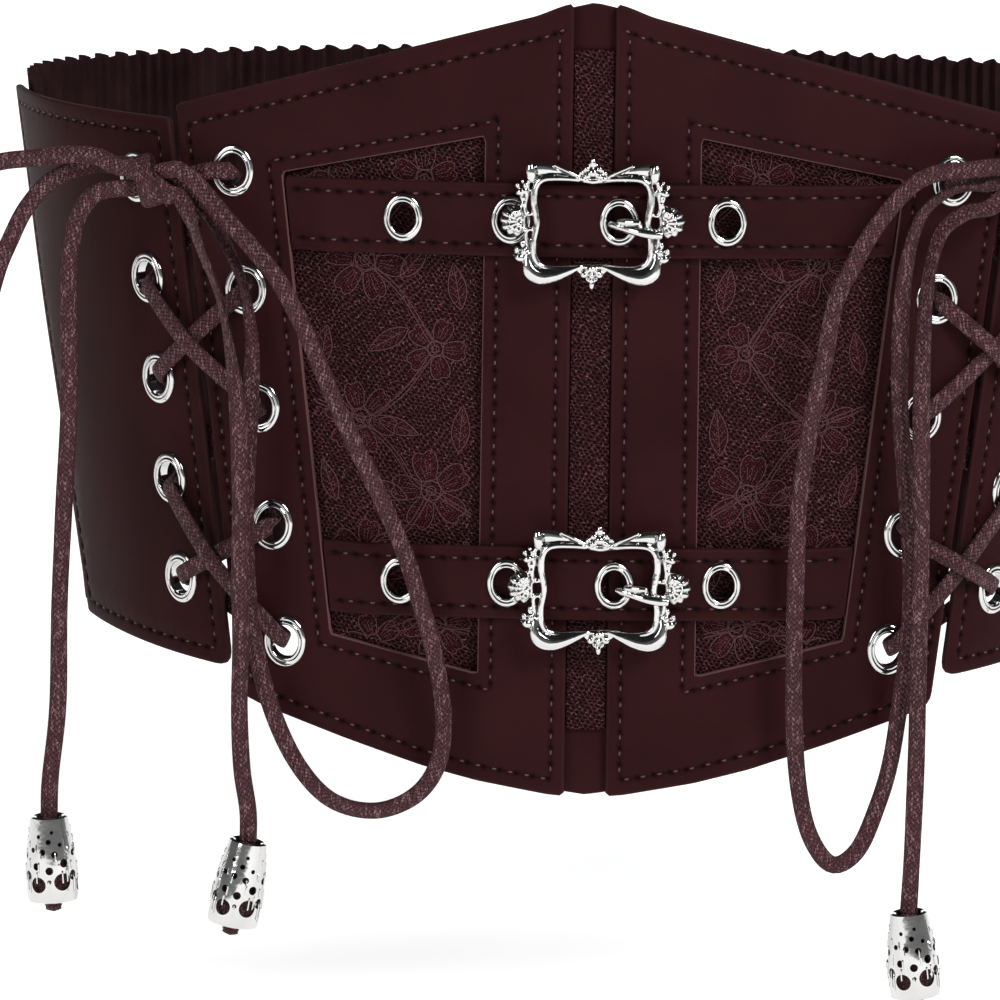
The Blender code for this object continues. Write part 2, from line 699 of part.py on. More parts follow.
def add_strap(strap, material):
    """A strap tucked into both windows at its ends and lying on the leather between."""
    half = STRAP_WIDTH / 2.0
    corners = []
    for side, edge in ((-1, 1), (-1, -1), (1, -1), (1, 1)):
        height = strap[1] + edge * half
        corners.append((side * (window_outer_edge(height) - GAP), height))

    def rise(along, height):
        return smooth_step((window_outer_edge(height) - GAP - abs(along)) / STRAP_TUCK_LENGTH)

    def face(along, height):
        return mix(LEATHER_FACE - STRAP_TUCK_SINK, STRAP_FACE, rise(along, height))

    def back(along, height):
        return face(along, height) - STRAP_THICKNESS

    top = strap[1] + STRAP_WIDTH
    bottom = strap[1] - STRAP_WIDTH
    lines = []
    for fold in range(1, STRAP_TUCK_FOLDS + 1):
        for side in (-1, 1):
            inset = GAP + fold * STRAP_TUCK_LENGTH / STRAP_TUCK_FOLDS
            lines.append(((side * (window_outer_edge(bottom) - inset), bottom),
                          (side * (window_outer_edge(top) - inset), top)))
    span = window_outer_edge(strap[1]) - STRAP_TUCK_LENGTH
    count = math.ceil(2.0 * span / FRONT_FOLD_PITCH)
    for index in range(1, count):
        along = mix(-span, span, index / count)
        lines.append(((along, bottom), (along, top)))
    holes = [eyelet_hole(place, STRAP_EYELET_HOLE) for place in strap_eyelets(strap)]
    add_plate(f"{strap[0]}_strap", corners, holes, lines, face, back, material)


def add_strap_eyelets(strap, material):
    for index, place in enumerate(strap_eyelets(strap)):
        add_eyelet(f"{strap[0]}_strap_eyelet_{index + 1}", place,
                   STRAP_EYELET_HEIGHT, STRAP_EYELET_HOLE,
                   STRAP_FACE, STRAP_BACK, material)


def buckle_rows():
    """The whole outline of a buckle, round from its crown."""
    right = list(BUCKLE_OUTLINE)
    left = [(-row[0], row[1], -row[2], row[3], row[4]) for row in reversed(right[1:-1])]
    return right + left


def add_buckle(buckle, strap, metal):
    word, along, offset = buckle
    centre = (along, strap[1] + offset)
    origin, sideways, upward, outward = wall_axes(*centre)
    seat = STRAP_FACE + GAP + EYELET_CREST + GAP

    def spot(across_share, up_share, out):
        return (origin + sideways * (across_share * BUCKLE_HALF_WIDTH)
                + upward * (up_share * BUCKLE_HALF_HEIGHT) + outward * out)

    sections = []
    for outer_across, outer_up, inner_across, inner_up, relief in buckle_rows():
        section = []
        for share, height_share in BUCKLE_SECTION:
            section.append(spot(mix(inner_across, outer_across, share),
                                mix(inner_up, outer_up, share),
                                seat + height_share * relief * BUCKLE_RELIEF))
        sections.append(section)
    add_loft(f"{word}_buckle", sections, metal, looped=True, rounded=True)

    bar_relief = min(row[4] for row in BUCKLE_OUTLINE)
    rest = seat + bar_relief * BUCKLE_RELIEF + GAP
    bar_row = max(BUCKLE_OUTLINE)
    start = mix(bar_row[2], bar_row[0], BUCKLE_BAR_SHARE) * BUCKLE_HALF_WIDTH
    lower = PRONG_WIDTH / 2.0
    prong_sections = []
    for reach_share, drop_share in PRONG_PROFILE:
        across = start - reach_share * PRONG_REACH
        floor = rest - drop_share * PRONG_DROP
        narrow = mix(1.0, PRONG_TIP_SHARE, drop_share)
        section = []
        for edge, top in ((-1, 0), (1, 0), (1, 1), (-1, 1)):
            section.append(origin + sideways * across
                           + upward * (edge * narrow * PRONG_WIDTH / 2.0 - lower)
                           + outward * (floor + top * PRONG_THICKNESS))
        prong_sections.append(section)
    add_loft(f"{word}_prong", prong_sections, metal)


# Lacing, bows and beads

def spline_through(points, per_span):
    """Catmull-Rom points through chosen points, ends held."""
    padded = [points[0] * 2.0 - points[1]] + list(points) + [points[-1] * 2.0 - points[-2]]
    curve = []
    for index in range(1, len(padded) - 2):
        before, start, end, after = padded[index - 1:index + 3]
        for step in range(per_span):
            t = step / per_span
            curve.append(0.5 * (
                start * 2.0
                + (end - before) * t
                + (before * 2.0 - start * 5.0 + end * 4.0 - after) * t * t
                + (start * 3.0 - before - end * 3.0 + after) * t * t * t))
    curve.append(points[-1].copy())
    return curve


def even_points(curve, pitch):
    """Points at an even pitch along a fine curve, both ends kept."""
    travelled = [0.0]
    for first, second in zip(curve, curve[1:]):
        travelled.append(travelled[-1] + (second - first).length)
    count = max(2, math.ceil(travelled[-1] / pitch))
    chosen = []
    index = 0
    for step in range(count + 1):
        target = travelled[-1] * step / count
        while index < len(curve) - 2 and travelled[index + 1] < target:
            index += 1
        span = travelled[index + 1] - travelled[index]
        chosen.append(curve[index].lerp(curve[index + 1], (target - travelled[index]) / span))
    return chosen


def add_cord(name, route, material):
    """A round cord along a smooth route, closed at both ends."""
    curve_data = bpy.data.curves.new(name, "CURVE")
    curve_data.dimensions = "3D"
    curve_data.bevel_depth = CORD_WIDTH / 2.0
    curve_data.bevel_resolution = 2
    curve_data.use_fill_caps = True
    curve = spline_through(route, CURVE_STEPS)
    between_leads = even_points(curve[CURVE_STEPS:-CURVE_STEPS], CORD_WIDTH * CORD_PITCH)
    points = [curve[0]] + between_leads + [curve[-1]]
    spline = curve_data.splines.new("POLY")
    spline.points.add(len(points) - 1)
    for point, place in zip(spline.points, points):
        point.co = (*place, 1.0)
    curve_data.materials.append(material)
    cord = bpy.data.objects.new(name, curve_data)
    bpy.context.scene.collection.objects.link(cord)


def knot_centre(side):
    """A bow's knot, standing off the laced gap near its top."""
    height = LEFT_KNOT_HEIGHT if side < 0 else RIGHT_KNOT_HEIGHT
    along = lacing_edge(height) + LACING_GAP + KNOT_OFFSET
    place = wall(side * along, height, LEATHER_FACE)
    place.y -= KNOT_STANDOFF
    return place


def add_knot(side, word, material):
    data = bmesh.new()
    bmesh.ops.create_cube(data, size=2.0)
    for vert in data.verts:
        vert.co = Vector([vert.co[axis] * KNOT_HALF_SIZE[axis] for axis in range(3)])
    bmesh.ops.bevel(data, geom=data.edges[:], offset=KNOT_CHAMFER,
                    segments=2, profile=0.5, affect="EDGES")
    centre = knot_centre(side)
    for vert in data.verts:
        vert.co += centre
    bmesh.ops.triangulate(data, faces=data.faces[:])
    add_solid(f"{word}_bow_knot", data, material, rounded=True)


def from_knot(side, route):
    """A bow's route, from millimetres at the knot to its place."""
    centre = knot_centre(side)
    return [centre + Vector((-side * inward, -forward, up)) * MILLIMETRE
            for inward, forward, up in route]


def lacing_strand(side, start, end, surface, middle):
    """Stops of a strand from one eyelet's bore to just before the other's.

    start and end are (along, height) on the right side; surface is how far out
    the strand lies on the wall and middle how far at its crossing.
    """
    start = Vector(start)
    end = Vector(end)
    run = (end - start).normalized()
    bore = (LEATHER_FACE + LEATHER_BACK) / 2.0
    turn = LACING_TURN
    clear = LACING_EYELET_HEIGHT * EYELET_WIDTH_SHARE / 2.0
    steep = mix(bore, surface, LACING_STEEPNESS)
    stops = (
        (start, bore), (start + run * turn, steep), (start + run * clear, surface),
        ((start + end) / 2.0, middle),
        (end - run * clear, surface), (end - run * turn, steep),
    )
    stations = []
    for place, out in stops:
        sideways, upward = wall_axes(side * place.x, place.y)[1:3]
        lie = upward * run.x * side - sideways * run.y
        if lie.z < 0.0:
            lie = -lie
        stations.append((wall(side * place.x, place.y, out), lie))
    return stations


def lacing_stations(side):
    """The whole lacing of one side: places, each with the lie of the cord's width."""
    over = EYELET_CREST + LACING_REST_OVER
    under = LEATHER_BACK - LACING_REST_UNDER
    clear = LACING_EYELET_HEIGHT * EYELET_WIDTH_SHARE / 2.0
    bore = (LEATHER_FACE + LEATHER_BACK) / 2.0
    upright = Vector((0.0, 0.0, 1.0))
    knot = knot_centre(side)

    along, height = front_eyelet(0)
    stations = [(knot + Vector((-side * (KNOT_HALF_SIZE[0] + GAP), KNOT_LACING_DEPTH, 0.0)),
                 upright)]
    stations.append((wall(side * (along + clear), height, over), upright))
    stations.append((wall(side * (along + LACING_TURN), height,
                          mix(bore, over, LACING_STEEPNESS)), upright))
    for index, (front_row, side_row, going_down) in enumerate(LACING_ORDER):
        deep = under - LACING_LIFT if going_down else under
        stations += lacing_strand(side, front_eyelet(front_row), side_eyelet(side_row),
                                  under, deep)
        if index + 1 == len(LACING_ORDER):
            break
        lifted = over + LACING_LIFT if going_down == (side < 0) else over
        stations += lacing_strand(side, side_eyelet(side_row),
                                  front_eyelet(LACING_ORDER[index + 1][0]), over, lifted)
    along, height = side_eyelet(0)
    stations.append((wall(side * along, height, bore), upright))
    stations.append((wall(side * along, height, over), upright))
    stations.append((knot + Vector((side * LACING_TURN / 2.0, KNOT_HALF_SIZE[1] + GAP, 0.0)),
                     upright))
    return stations


def add_lacing(side, word, material):
    stations = lacing_stations(side)
    sections = []
    for index, (place, lie) in enumerate(stations):
        before = stations[max(index - 1, 0)][0]
        after = stations[min(index + 1, len(stations) - 1)][0]
        heading = (after - before).normalized()
        if index == 0:
            heading = Vector((-side, 0.0, 0.0))
        if index == len(stations) - 1:
            heading = Vector((0.0, -1.0, 0.0))
        width = (lie - heading * lie.dot(heading)).normalized() * CORD_WIDTH / 2.0
        depth = heading.cross(width).normalized() * LACING_THICKNESS / 2.0
        sections.append([place + width + depth, place - width + depth,
                         place - width - depth, place + width - depth])
    add_loft(f"{word}_lacing", sections, material)


def add_bead(name, route, metal):
    """A pierced barrel bead on the end of a tail, its top rim round the cord."""
    top = route[-2]
    axis = (route[-1] - top).normalized()
    across = axis.cross(Vector((0.0, 1.0, 0.0))).normalized()
    forward = axis.cross(across)

    def around(radius, drop, degrees):
        turn = math.radians(degrees)
        return (top + axis * drop
                + (across * math.cos(turn) + forward * math.sin(turn)) * radius)

    sections = []
    for length_share, flare, inwards in BEAD_PROFILE:
        radius = mix(BEAD_TOP_RADIUS, BEAD_BOTTOM_RADIUS, flare) - inwards * BEAD_WALL
        sections.append([around(radius, length_share * BEAD_LENGTH, 360.0 * i / BEAD_SIDES)
                         for i in range(BEAD_SIDES)])
    bead = add_loft(name, sections, metal, looped=True, rounded=True)

    data = bmesh.new()
    for degrees, length_share, radius in BEAD_HOLES:
        drop = length_share * BEAD_LENGTH
        start = around(CORD_WIDTH / 2.0, drop, degrees)
        end = around(2.0 * BEAD_BOTTOM_RADIUS, drop, degrees)
        heading = (end - start).normalized()
        beside = heading.cross(axis).normalized()
        rings = []
        for centre in (start, end):
            ring = []
            for index in range(BEAD_HOLE_SIDES):
                turn = math.tau * index / BEAD_HOLE_SIDES
                spoke = beside * math.cos(turn) + axis * math.sin(turn)
                ring.append(data.verts.new(centre + spoke * radius))
            rings.append(ring)
        for index in range(BEAD_HOLE_SIDES):
            after = (index + 1) % BEAD_HOLE_SIDES
            data.faces.new((rings[0][index], rings[0][after], rings[1][after], rings[1][index]))
        data.faces.new(rings[0])
        data.faces.new(reversed(rings[1]))
    piercer = add_solid(name + "_piercer", data, metal)
    piercer.hide_render = True
    piercer.display_type = "WIRE"
    cut = bead.modifiers.new("pierced", "BOOLEAN")
    cut.operation = "DIFFERENCE"
    cut.object = piercer


def add_bow(side, word, inner_loop, inner_tail, cord, metal):
    """Knot, two loops, two tails and their beads on one side."""
    add_knot(side, word, cord)
    for name, route in (("outer_loop", OUTER_LOOP), ("inner_loop", inner_loop)):
        add_cord(f"{word}_{name}", from_knot(side, route), cord)
    for name, route in (("outer", OUTER_TAIL), ("inner", inner_tail)):
        placed = from_knot(side, route)
        add_cord(f"{word}_{name}_tail", placed, cord)
        add_bead(f"{word}_{name}_bead", placed, metal)


def build():
    clear_scene()
    leather = finish("oxblood_leather", (0.026, 0.0085, 0.0095), 0.42, 0.0)
    lace = finish("wine_lace", (0.022, 0.004, 0.006), 0.75, 0.0)
    elastic = finish("shirred_elastic", (0.015, 0.008, 0.008), 0.70, 0.0)
    metal = finish("bright_nickel", (0.78, 0.78, 0.77), 0.16, 1.0)
    cord = finish("waxed_cord", (0.052, 0.020, 0.022), 0.55, 0.0)

    add_placket(leather, lace)
    add_elastic(elastic)
    for strap, buckle in zip(STRAPS, BUCKLES):
        add_strap(strap, leather)
        add_strap_eyelets(strap, metal)
        add_buckle(buckle, strap, metal)
    bows = (
        (-1, "left", LEFT_INNER_LOOP, LEFT_INNER_TAIL),
        (1, "right", RIGHT_INNER_LOOP, RIGHT_INNER_TAIL),
    )
    for side, word, inner_loop, inner_tail in bows:
        add_front(side, word, leather, lace)
        add_side(side, word, leather)
        add_lacing_eyelets(side, word, metal)
        add_lacing(side, word, cord)
        add_bow(side, word, inner_loop, inner_tail, cord, metal)


build()
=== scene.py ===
import math
import random

import bmesh
import bpy
import numpy as np
from mathutils import Matrix, Vector
from mathutils.geometry import delaunay_2d_cdt


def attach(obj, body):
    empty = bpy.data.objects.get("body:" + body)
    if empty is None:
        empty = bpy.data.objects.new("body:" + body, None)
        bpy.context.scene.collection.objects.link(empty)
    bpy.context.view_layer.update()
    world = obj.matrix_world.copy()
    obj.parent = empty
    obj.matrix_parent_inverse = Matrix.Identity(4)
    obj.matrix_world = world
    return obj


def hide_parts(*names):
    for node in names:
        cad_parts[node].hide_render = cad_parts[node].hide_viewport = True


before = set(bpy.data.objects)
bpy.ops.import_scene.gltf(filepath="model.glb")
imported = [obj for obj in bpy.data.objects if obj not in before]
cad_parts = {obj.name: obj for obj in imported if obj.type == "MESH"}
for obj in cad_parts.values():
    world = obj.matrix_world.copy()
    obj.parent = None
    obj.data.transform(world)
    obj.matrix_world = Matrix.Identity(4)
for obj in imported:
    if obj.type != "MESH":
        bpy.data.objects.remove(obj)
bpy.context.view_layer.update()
TAU = math.tau


# Stage. The belt hangs as a waist holds it, over plain white paper that curves up
# behind it. The camera stands in front, a little above and slightly tilted. The main
# soft lamp is high on the right, with weaker ones on the left and behind.

FRONT_Y = -0.0934
VIEW_DISTANCE = 1.5
VIEW_HEIGHT = math.radians(8.5)
VIEW_TILT = math.radians(0.8)
VIEW_LENS = 216.0
VIEW_SHIFT = (-0.090, -0.099)
VIEW_REACH = 20.0
FLOOR_HEIGHT = -0.172
FLOOR_BACK = 0.9
FLOOR_FRONT = -3.0
FLOOR_HALF_WIDTH = 3.0
FLOOR_BEND = 0.6
FLOOR_BEND_STEPS = 16
FLOOR_WALL = 0.44
PAPER_COLOUR = (0.86, 0.86, 0.865)
PAPER_GLOW = 0.74
ROOM_LOW = (0.42, 0.42, 0.43, 1.0)
ROOM_HIGH = (0.03, 0.03, 0.034, 1.0)
ROOM_HIGH_FROM = 0.40
ROOM_LIGHT = 0.60

# Lamps: name, place, where it points, width and height, watts
LAMPS = (
    ("left_lamp", (-1.05, -1.25, 0.60), (0.0, 0.0, 0.0), (0.60, 0.90), 8.5),
    ("right_lamp", (0.90, -1.25, 1.00), (0.0, 0.0, 0.0), (0.60, 0.60), 22.0),
    ("back_lamp", (0.0, 0.55, 1.30), (0.0, 0.10, -0.10), (0.90, 0.50), 4.0),
)

camera_data = bpy.data.cameras.new("camera")
camera_data.lens = VIEW_LENS
camera_data.shift_x, camera_data.shift_y = VIEW_SHIFT
camera_data.clip_end = VIEW_REACH
camera = bpy.data.objects.new("camera", camera_data)
bpy.context.scene.collection.objects.link(camera)
camera.matrix_world = (
    Matrix.Translation((0.0, FRONT_Y - VIEW_DISTANCE * math.cos(VIEW_HEIGHT),
                        VIEW_DISTANCE * math.sin(VIEW_HEIGHT)))
    @ Matrix.Rotation(math.radians(90.0) - VIEW_HEIGHT, 4, "X")
    @ Matrix.Rotation(VIEW_TILT, 4, "Z"))
bpy.context.scene.camera = camera
bpy.context.scene.view_settings.view_transform = "Standard"


def new_material(name, colour, roughness, metallic=0.0, specular=0.5):
    """A material with a Principled shader set to uniform values."""
    material = bpy.data.materials.new(name)
    material.use_nodes = True
    shader = material.node_tree.nodes["Principled BSDF"]
    shader.inputs["Base Color"].default_value = (*colour, 1.0)
    shader.inputs["Roughness"].default_value = roughness
    shader.inputs["Metallic"].default_value = metallic
    shader.inputs["Specular IOR Level"].default_value = specular
    return material, shader


def add_floor():
    """A sheet of glowing white paper, bent up behind the belt."""
    profile = [(FLOOR_FRONT, FLOOR_HEIGHT)]
    for step in range(FLOOR_BEND_STEPS + 1):
        turn = math.radians(90.0) * step / FLOOR_BEND_STEPS
        profile.append((FLOOR_BACK + FLOOR_BEND * math.sin(turn),
                        FLOOR_HEIGHT + FLOOR_BEND * (1.0 - math.cos(turn))))
    profile.append((FLOOR_BACK + FLOOR_BEND, FLOOR_WALL))
    mesh = bpy.data.meshes.new("floor")
    corners = [(x, y, z) for y, z in profile for x in (-FLOOR_HALF_WIDTH, FLOOR_HALF_WIDTH)]
    faces = [(2 * i, 2 * i + 1, 2 * i + 3, 2 * i + 2) for i in range(len(profile) - 1)]
    mesh.from_pydata(corners, [], faces)
    mesh.shade_smooth()
    floor = bpy.data.objects.new("floor", mesh)
    bpy.context.scene.collection.objects.link(floor)
    material, shader = new_material("white_paper", PAPER_COLOUR, 0.75, specular=0.1)
    shader.inputs["Emission Color"].default_value = (1.0, 1.0, 1.0, 1.0)
    shader.inputs["Emission Strength"].default_value = PAPER_GLOW
    mesh.materials.append(material)


def add_lamp(name, place, target, size, watts):
    """A soft rectangular lamp turned towards its target."""
    lamp_data = bpy.data.lights.new(name, "AREA")
    lamp_data.shape = "RECTANGLE"
    lamp_data.size, lamp_data.size_y = size
    lamp_data.energy = watts
    lamp = bpy.data.objects.new(name, lamp_data)
    bpy.context.scene.collection.objects.link(lamp)
    lamp.location = place
    lamp.rotation_euler = (Vector(target) - Vector(place)).to_track_quat("-Z", "Y").to_euler()


def add_room():
    """Pale surroundings, darker straight above so that polished metal has contrast."""
    world = bpy.data.worlds.new("room")
    bpy.context.scene.world = world
    world.use_nodes = True
    nodes, links = world.node_tree.nodes, world.node_tree.links
    place = nodes.new("ShaderNodeTexCoord")
    split = nodes.new("ShaderNodeSeparateXYZ")
    ramp = nodes.new("ShaderNodeValToRGB")
    links.new(place.outputs["Generated"], split.inputs[0])
    links.new(split.outputs["Z"], ramp.inputs["Fac"])
    stops = ramp.color_ramp.elements
    stops[0].position, stops[0].color = 0.0, ROOM_LOW
    stops[1].position, stops[1].color = ROOM_HIGH_FROM, ROOM_HIGH
    links.new(ramp.outputs["Color"], nodes["Background"].inputs["Color"])
    nodes["Background"].inputs["Strength"].default_value = ROOM_LIGHT


add_floor()
add_room()
for lamp in LAMPS:
    add_lamp(*lamp)


# Cords of the two bows. Each is a free end or loop of the flat waxed braid that
# laces the belt: mauve-brown, 4.4 mm wide and plaited on the slant. It hangs from
# the knot under its own weight, flat or edge-on as it twists.

# Routes from the knot's centre, in metres: towards the centre front, forwards, up
OUTER_LOOP = (
    (-0.0053, 0.0042, 0.0038), (-0.0076, 0.0042, 0.0038), (-0.0130, 0.0044, 0.0064),
    (-0.0200, 0.0044, 0.0068), (-0.0280, 0.0040, 0.0058), (-0.0386, 0.0034, 0.0042),
    (-0.0484, 0.0028, -0.0010), (-0.0544, 0.0024, -0.0130), (-0.0574, 0.0020, -0.0350),
    (-0.0584, 0.0016, -0.0570), (-0.0584, 0.0012, -0.0820), (-0.0564, 0.0010, -0.0980),
    (-0.0508, 0.0008, -0.1060), (-0.0456, 0.0006, -0.0990), (-0.0438, 0.0004, -0.0820),
    (-0.0430, 0.0000, -0.0570), (-0.0413, -0.0004, -0.0370), (-0.0385, -0.0006, -0.0240),
    (-0.0351, -0.0008, -0.0155), (-0.0308, -0.0009, -0.0070), (-0.0243, -0.0010, 0.0000),
    (-0.0150, -0.0010, 0.0036), (-0.0084, -0.0010, 0.0038), (-0.0053, -0.0010, 0.0038),
)
OUTER_TAIL = (
    (-0.0053, 0.0018, -0.0018), (-0.0076, 0.0018, -0.0018), (-0.0132, 0.0018, -0.0030),
    (-0.0170, 0.0017, -0.0074), (-0.0192, 0.0016, -0.0140), (-0.0203, 0.0015, -0.0261),
    (-0.0201, 0.0014, -0.0393), (-0.0202, 0.0013, -0.0585), (-0.0214, 0.0012, -0.0827),
    (-0.0225, 0.0011, -0.1079), (-0.0229, 0.0010, -0.1336), (-0.0248, 0.0010, -0.1524),
    (-0.0251, 0.0010, -0.1624), (-0.0240, 0.0010, -0.1846),
)
LEFT_INNER_LOOP = (
    (0.0053, 0.0039, 0.0032), (0.0076, 0.0039, 0.0032), (0.0125, 0.0060, -0.0004),
    (0.0190, 0.0089, -0.0076), (0.0270, 0.0114, -0.0160), (0.0331, 0.0128, -0.0234),
    (0.0401, 0.0136, -0.0366), (0.0487, 0.0138, -0.0564), (0.0583, 0.0138, -0.0762),
    (0.0644, 0.0138, -0.0900), (0.0684, 0.0138, -0.1019), (0.0725, 0.0136, -0.1167),
    (0.0750, 0.0132, -0.1321), (0.0738, 0.0128, -0.1446), (0.0681, 0.0124, -0.1532),
    (0.0581, 0.0118, -0.1574), (0.0471, 0.0110, -0.1551), (0.0386, 0.0102, -0.1465),
    (0.0320, 0.0094, -0.1331), (0.0275, 0.0088, -0.1167), (0.0254, 0.0086, -0.1009),
    (0.0248, 0.0085, -0.0811), (0.0257, 0.0084, -0.0564), (0.0260, 0.0078, -0.0386),
    (0.0231, 0.0062, -0.0234), (0.0170, 0.0034, -0.0114), (0.0126, 0.0016, -0.0050),
    (0.0076, -0.0006, 0.0002), (0.0053, -0.0006, 0.0002),
)
LEFT_INNER_TAIL = (
    (0.0053, 0.0039, -0.0033), (0.0076, 0.0039, -0.0033), (0.0108, 0.0080, -0.0086),
    (0.0136, 0.0106, -0.0160), (0.0182, 0.0118, -0.0278), (0.0215, 0.0134, -0.0435),
    (0.0231, 0.0139, -0.0574), (0.0238, 0.0140, -0.0771), (0.0238, 0.0140, -0.0959),
    (0.0240, 0.0140, -0.1147), (0.0238, 0.0140, -0.1315), (0.0245, 0.0140, -0.1464),
    (0.0261, 0.0140, -0.1573), (0.0262, 0.0140, -0.1652), (0.0222, 0.0140, -0.1863),
)
RIGHT_INNER_LOOP = (
    (0.0053, 0.0039, 0.0032), (0.0076, 0.0039, 0.0032), (0.0120, 0.0068, 0.0035),
    (0.0180, 0.0090, 0.0030), (0.0250, 0.0102, 0.0024), (0.0308, 0.0110, 0.0000),
    (0.0360, 0.0118, -0.0050), (0.0420, 0.0126, -0.0130), (0.0468, 0.0132, -0.0219),
    (0.0506, 0.0136, -0.0306), (0.0529, 0.0138, -0.0444), (0.0561, 0.0138, -0.0612),
    (0.0584, 0.0138, -0.0790), (0.0589, 0.0138, -0.0957), (0.0591, 0.0137, -0.1155),
    (0.0588, 0.0135, -0.1352), (0.0573, 0.0132, -0.1530), (0.0541, 0.0128, -0.1658),
    (0.0484, 0.0122, -0.1731), (0.0420, 0.0116, -0.1693), (0.0372, 0.0108, -0.1579),
    (0.0342, 0.0100, -0.1471), (0.0322, 0.0094, -0.1332), (0.0302, 0.0089, -0.1165),
    (0.0300, 0.0086, -0.0967), (0.0319, 0.0085, -0.0750), (0.0336, 0.0084, -0.0563),
    (0.0339, 0.0082, -0.0375), (0.0327, 0.0076, -0.0209), (0.0290, 0.0066, -0.0086),
    (0.0215, 0.0054, -0.0026), (0.0136, 0.0036, -0.0016), (0.0076, -0.0006, 0.0002),
    (0.0053, -0.0006, 0.0002),
)
RIGHT_INNER_TAIL = (
    (0.0053, 0.0039, -0.0033), (0.0076, 0.0039, -0.0033), (0.0125, 0.0078, -0.0066),
    (0.0185, 0.0110, -0.0076), (0.0246, 0.0128, -0.0126), (0.0275, 0.0138, -0.0239),
    (0.0284, 0.0141, -0.0377), (0.0286, 0.0141, -0.0551), (0.0281, 0.0141, -0.0765),
    (0.0278, 0.0141, -0.0963), (0.0279, 0.0141, -0.1112), (0.0279, 0.0141, -0.1271),
    (0.0279, 0.0141, -0.1440), (0.0282, 0.0141, -0.1609), (0.0286, 0.0141, -0.1748),
    (0.0290, 0.0141, -0.1847), (0.0268, 0.0141, -0.2060),
)

SIDES = ((-1, "left"), (1, "right"))
INNER_LOOPS = {-1: LEFT_INNER_LOOP, 1: RIGHT_INNER_LOOP}
INNER_TAILS = {-1: LEFT_INNER_TAIL, 1: RIGHT_INNER_TAIL}

# The waist's ring that every piece lies on, seen from above
FRONT_RADIUS = 0.420
SIDE_RADIUS = 0.100
REAR_CORNER_RADIUS = 0.070
SIDE_HEADING = math.radians(33.0)
REAR_CORNER_TURN = math.radians(60.0)
BEND_MARGIN = 0.001
FRONT_HALF_WIDTH = 0.0975
FRONT_FLARE = 0.12
LACING_GAP = 0.0021
MILLIMETRE = 0.001

KNOT_OFFSET = 0.0072
KNOT_HEIGHTS = {-1: 0.0530, 1: 0.0565}
KNOT_STANDOFF = 0.0103
CORD_WIDTH = 0.0044
CORD_THICKNESS = 0.0015
CORD_STEP = 0.0011
CORD_SIDES = 14
CORD_SQUARENESS = 0.60
CORD_PULLED_SQUARENESS = 0.72
CORD_SETTLE = 0.012
CORD_CURVE_STEPS = 12
CORD_TWIST = math.radians(16.0)
CORD_TWIST_LENGTH = 0.085
EDGE_TURN = math.radians(62.0)
EDGE_TURN_RUNS = (0.005, 0.012, 0.034, 0.062)
PLAIT_PITCH = 0.00085
PLAIT_SLANT = 0.62
PLAIT_RELIEF = 0.00022
# Painted shade: the grooves between the braid's strands are painted nearly black
BRAID_GROOVE_SHADE = (0.012, 0.004, 0.005)
BRAID_DARK = (0.048, 0.0155, 0.0190)
BRAID_PALE = (0.094, 0.036, 0.042)
BRAID_FLECK = (0.210, 0.110, 0.118)


def lacing_edge(height):
    """Distance along the front from its centre to the laced edge at a height."""
    return FRONT_HALF_WIDTH + FRONT_FLARE * height


def ring_arcs(height):
    """The right half of the ring at heights, as (length, radius) from front to back."""
    front_length = lacing_edge(height) - BEND_MARGIN
    front_heading = front_length / FRONT_RADIUS
    bend_length = LACING_GAP + 2.0 * BEND_MARGIN
    bend_radius = bend_length / (SIDE_HEADING - front_heading)
    side_turn = math.radians(90.0) - SIDE_HEADING
    half_width = FRONT_RADIUS * np.sin(front_heading)
    half_width = half_width + bend_radius * (math.sin(SIDE_HEADING) - np.sin(front_heading))
    half_width = half_width + SIDE_RADIUS * (1.0 - math.sin(SIDE_HEADING))
    rear_turn = math.radians(90.0) - REAR_CORNER_TURN
    after_corner = half_width - REAR_CORNER_RADIUS * (1.0 - math.cos(REAR_CORNER_TURN))
    rear_radius = after_corner / math.sin(rear_turn)
    return (
        (front_length, FRONT_RADIUS),
        (bend_length, bend_radius),
        (side_turn * SIDE_RADIUS, SIDE_RADIUS),
        (REAR_CORNER_TURN * REAR_CORNER_RADIUS, REAR_CORNER_RADIUS),
        (rear_turn * rear_radius, rear_radius),
    )


def half_girth(height):
    """Half the way round the belt at a height."""
    return sum(length for length, radius in ring_arcs(height))


def wall(along, height, out):
    """Points on the wall: distance along from the centre front, height, out from
    the leather's face. Numbers or arrays."""
    along, height, out = np.broadcast_arrays(along, height, out)
    across, depth, heading = (np.zeros(along.shape) for _ in range(3))
    left = np.abs(along).astype(float)
    for length, radius in ring_arcs(height):
        step = np.minimum(left, length)
        turned = heading + step / radius
        across = across + radius * (np.sin(turned) - np.sin(heading))
        depth = depth + radius * (np.cos(heading) - np.cos(turned))
        heading = turned
        left = left - step
    side = np.where(along >= 0.0, 1.0, -1.0)
    return np.stack([side * (across + out * np.sin(heading)),
                     FRONT_Y + depth - out * np.cos(heading), height], axis=-1)


def unit(vectors):
    """The same vectors at length one."""
    return vectors / np.maximum(np.linalg.norm(vectors, axis=-1, keepdims=True), 1e-12)


def wall_axes(along, height):
    """Sideways, upward and outward unit vectors of the wall's face."""
    step = MILLIMETRE / 10.0
    sideways = unit(wall(along + step, height, 0.0) - wall(along - step, height, 0.0))
    rising = wall(along, height + step, 0.0) - wall(along, height - step, 0.0)
    outward = unit(np.cross(sideways, rising))
    return sideways, np.cross(outward, sideways), outward


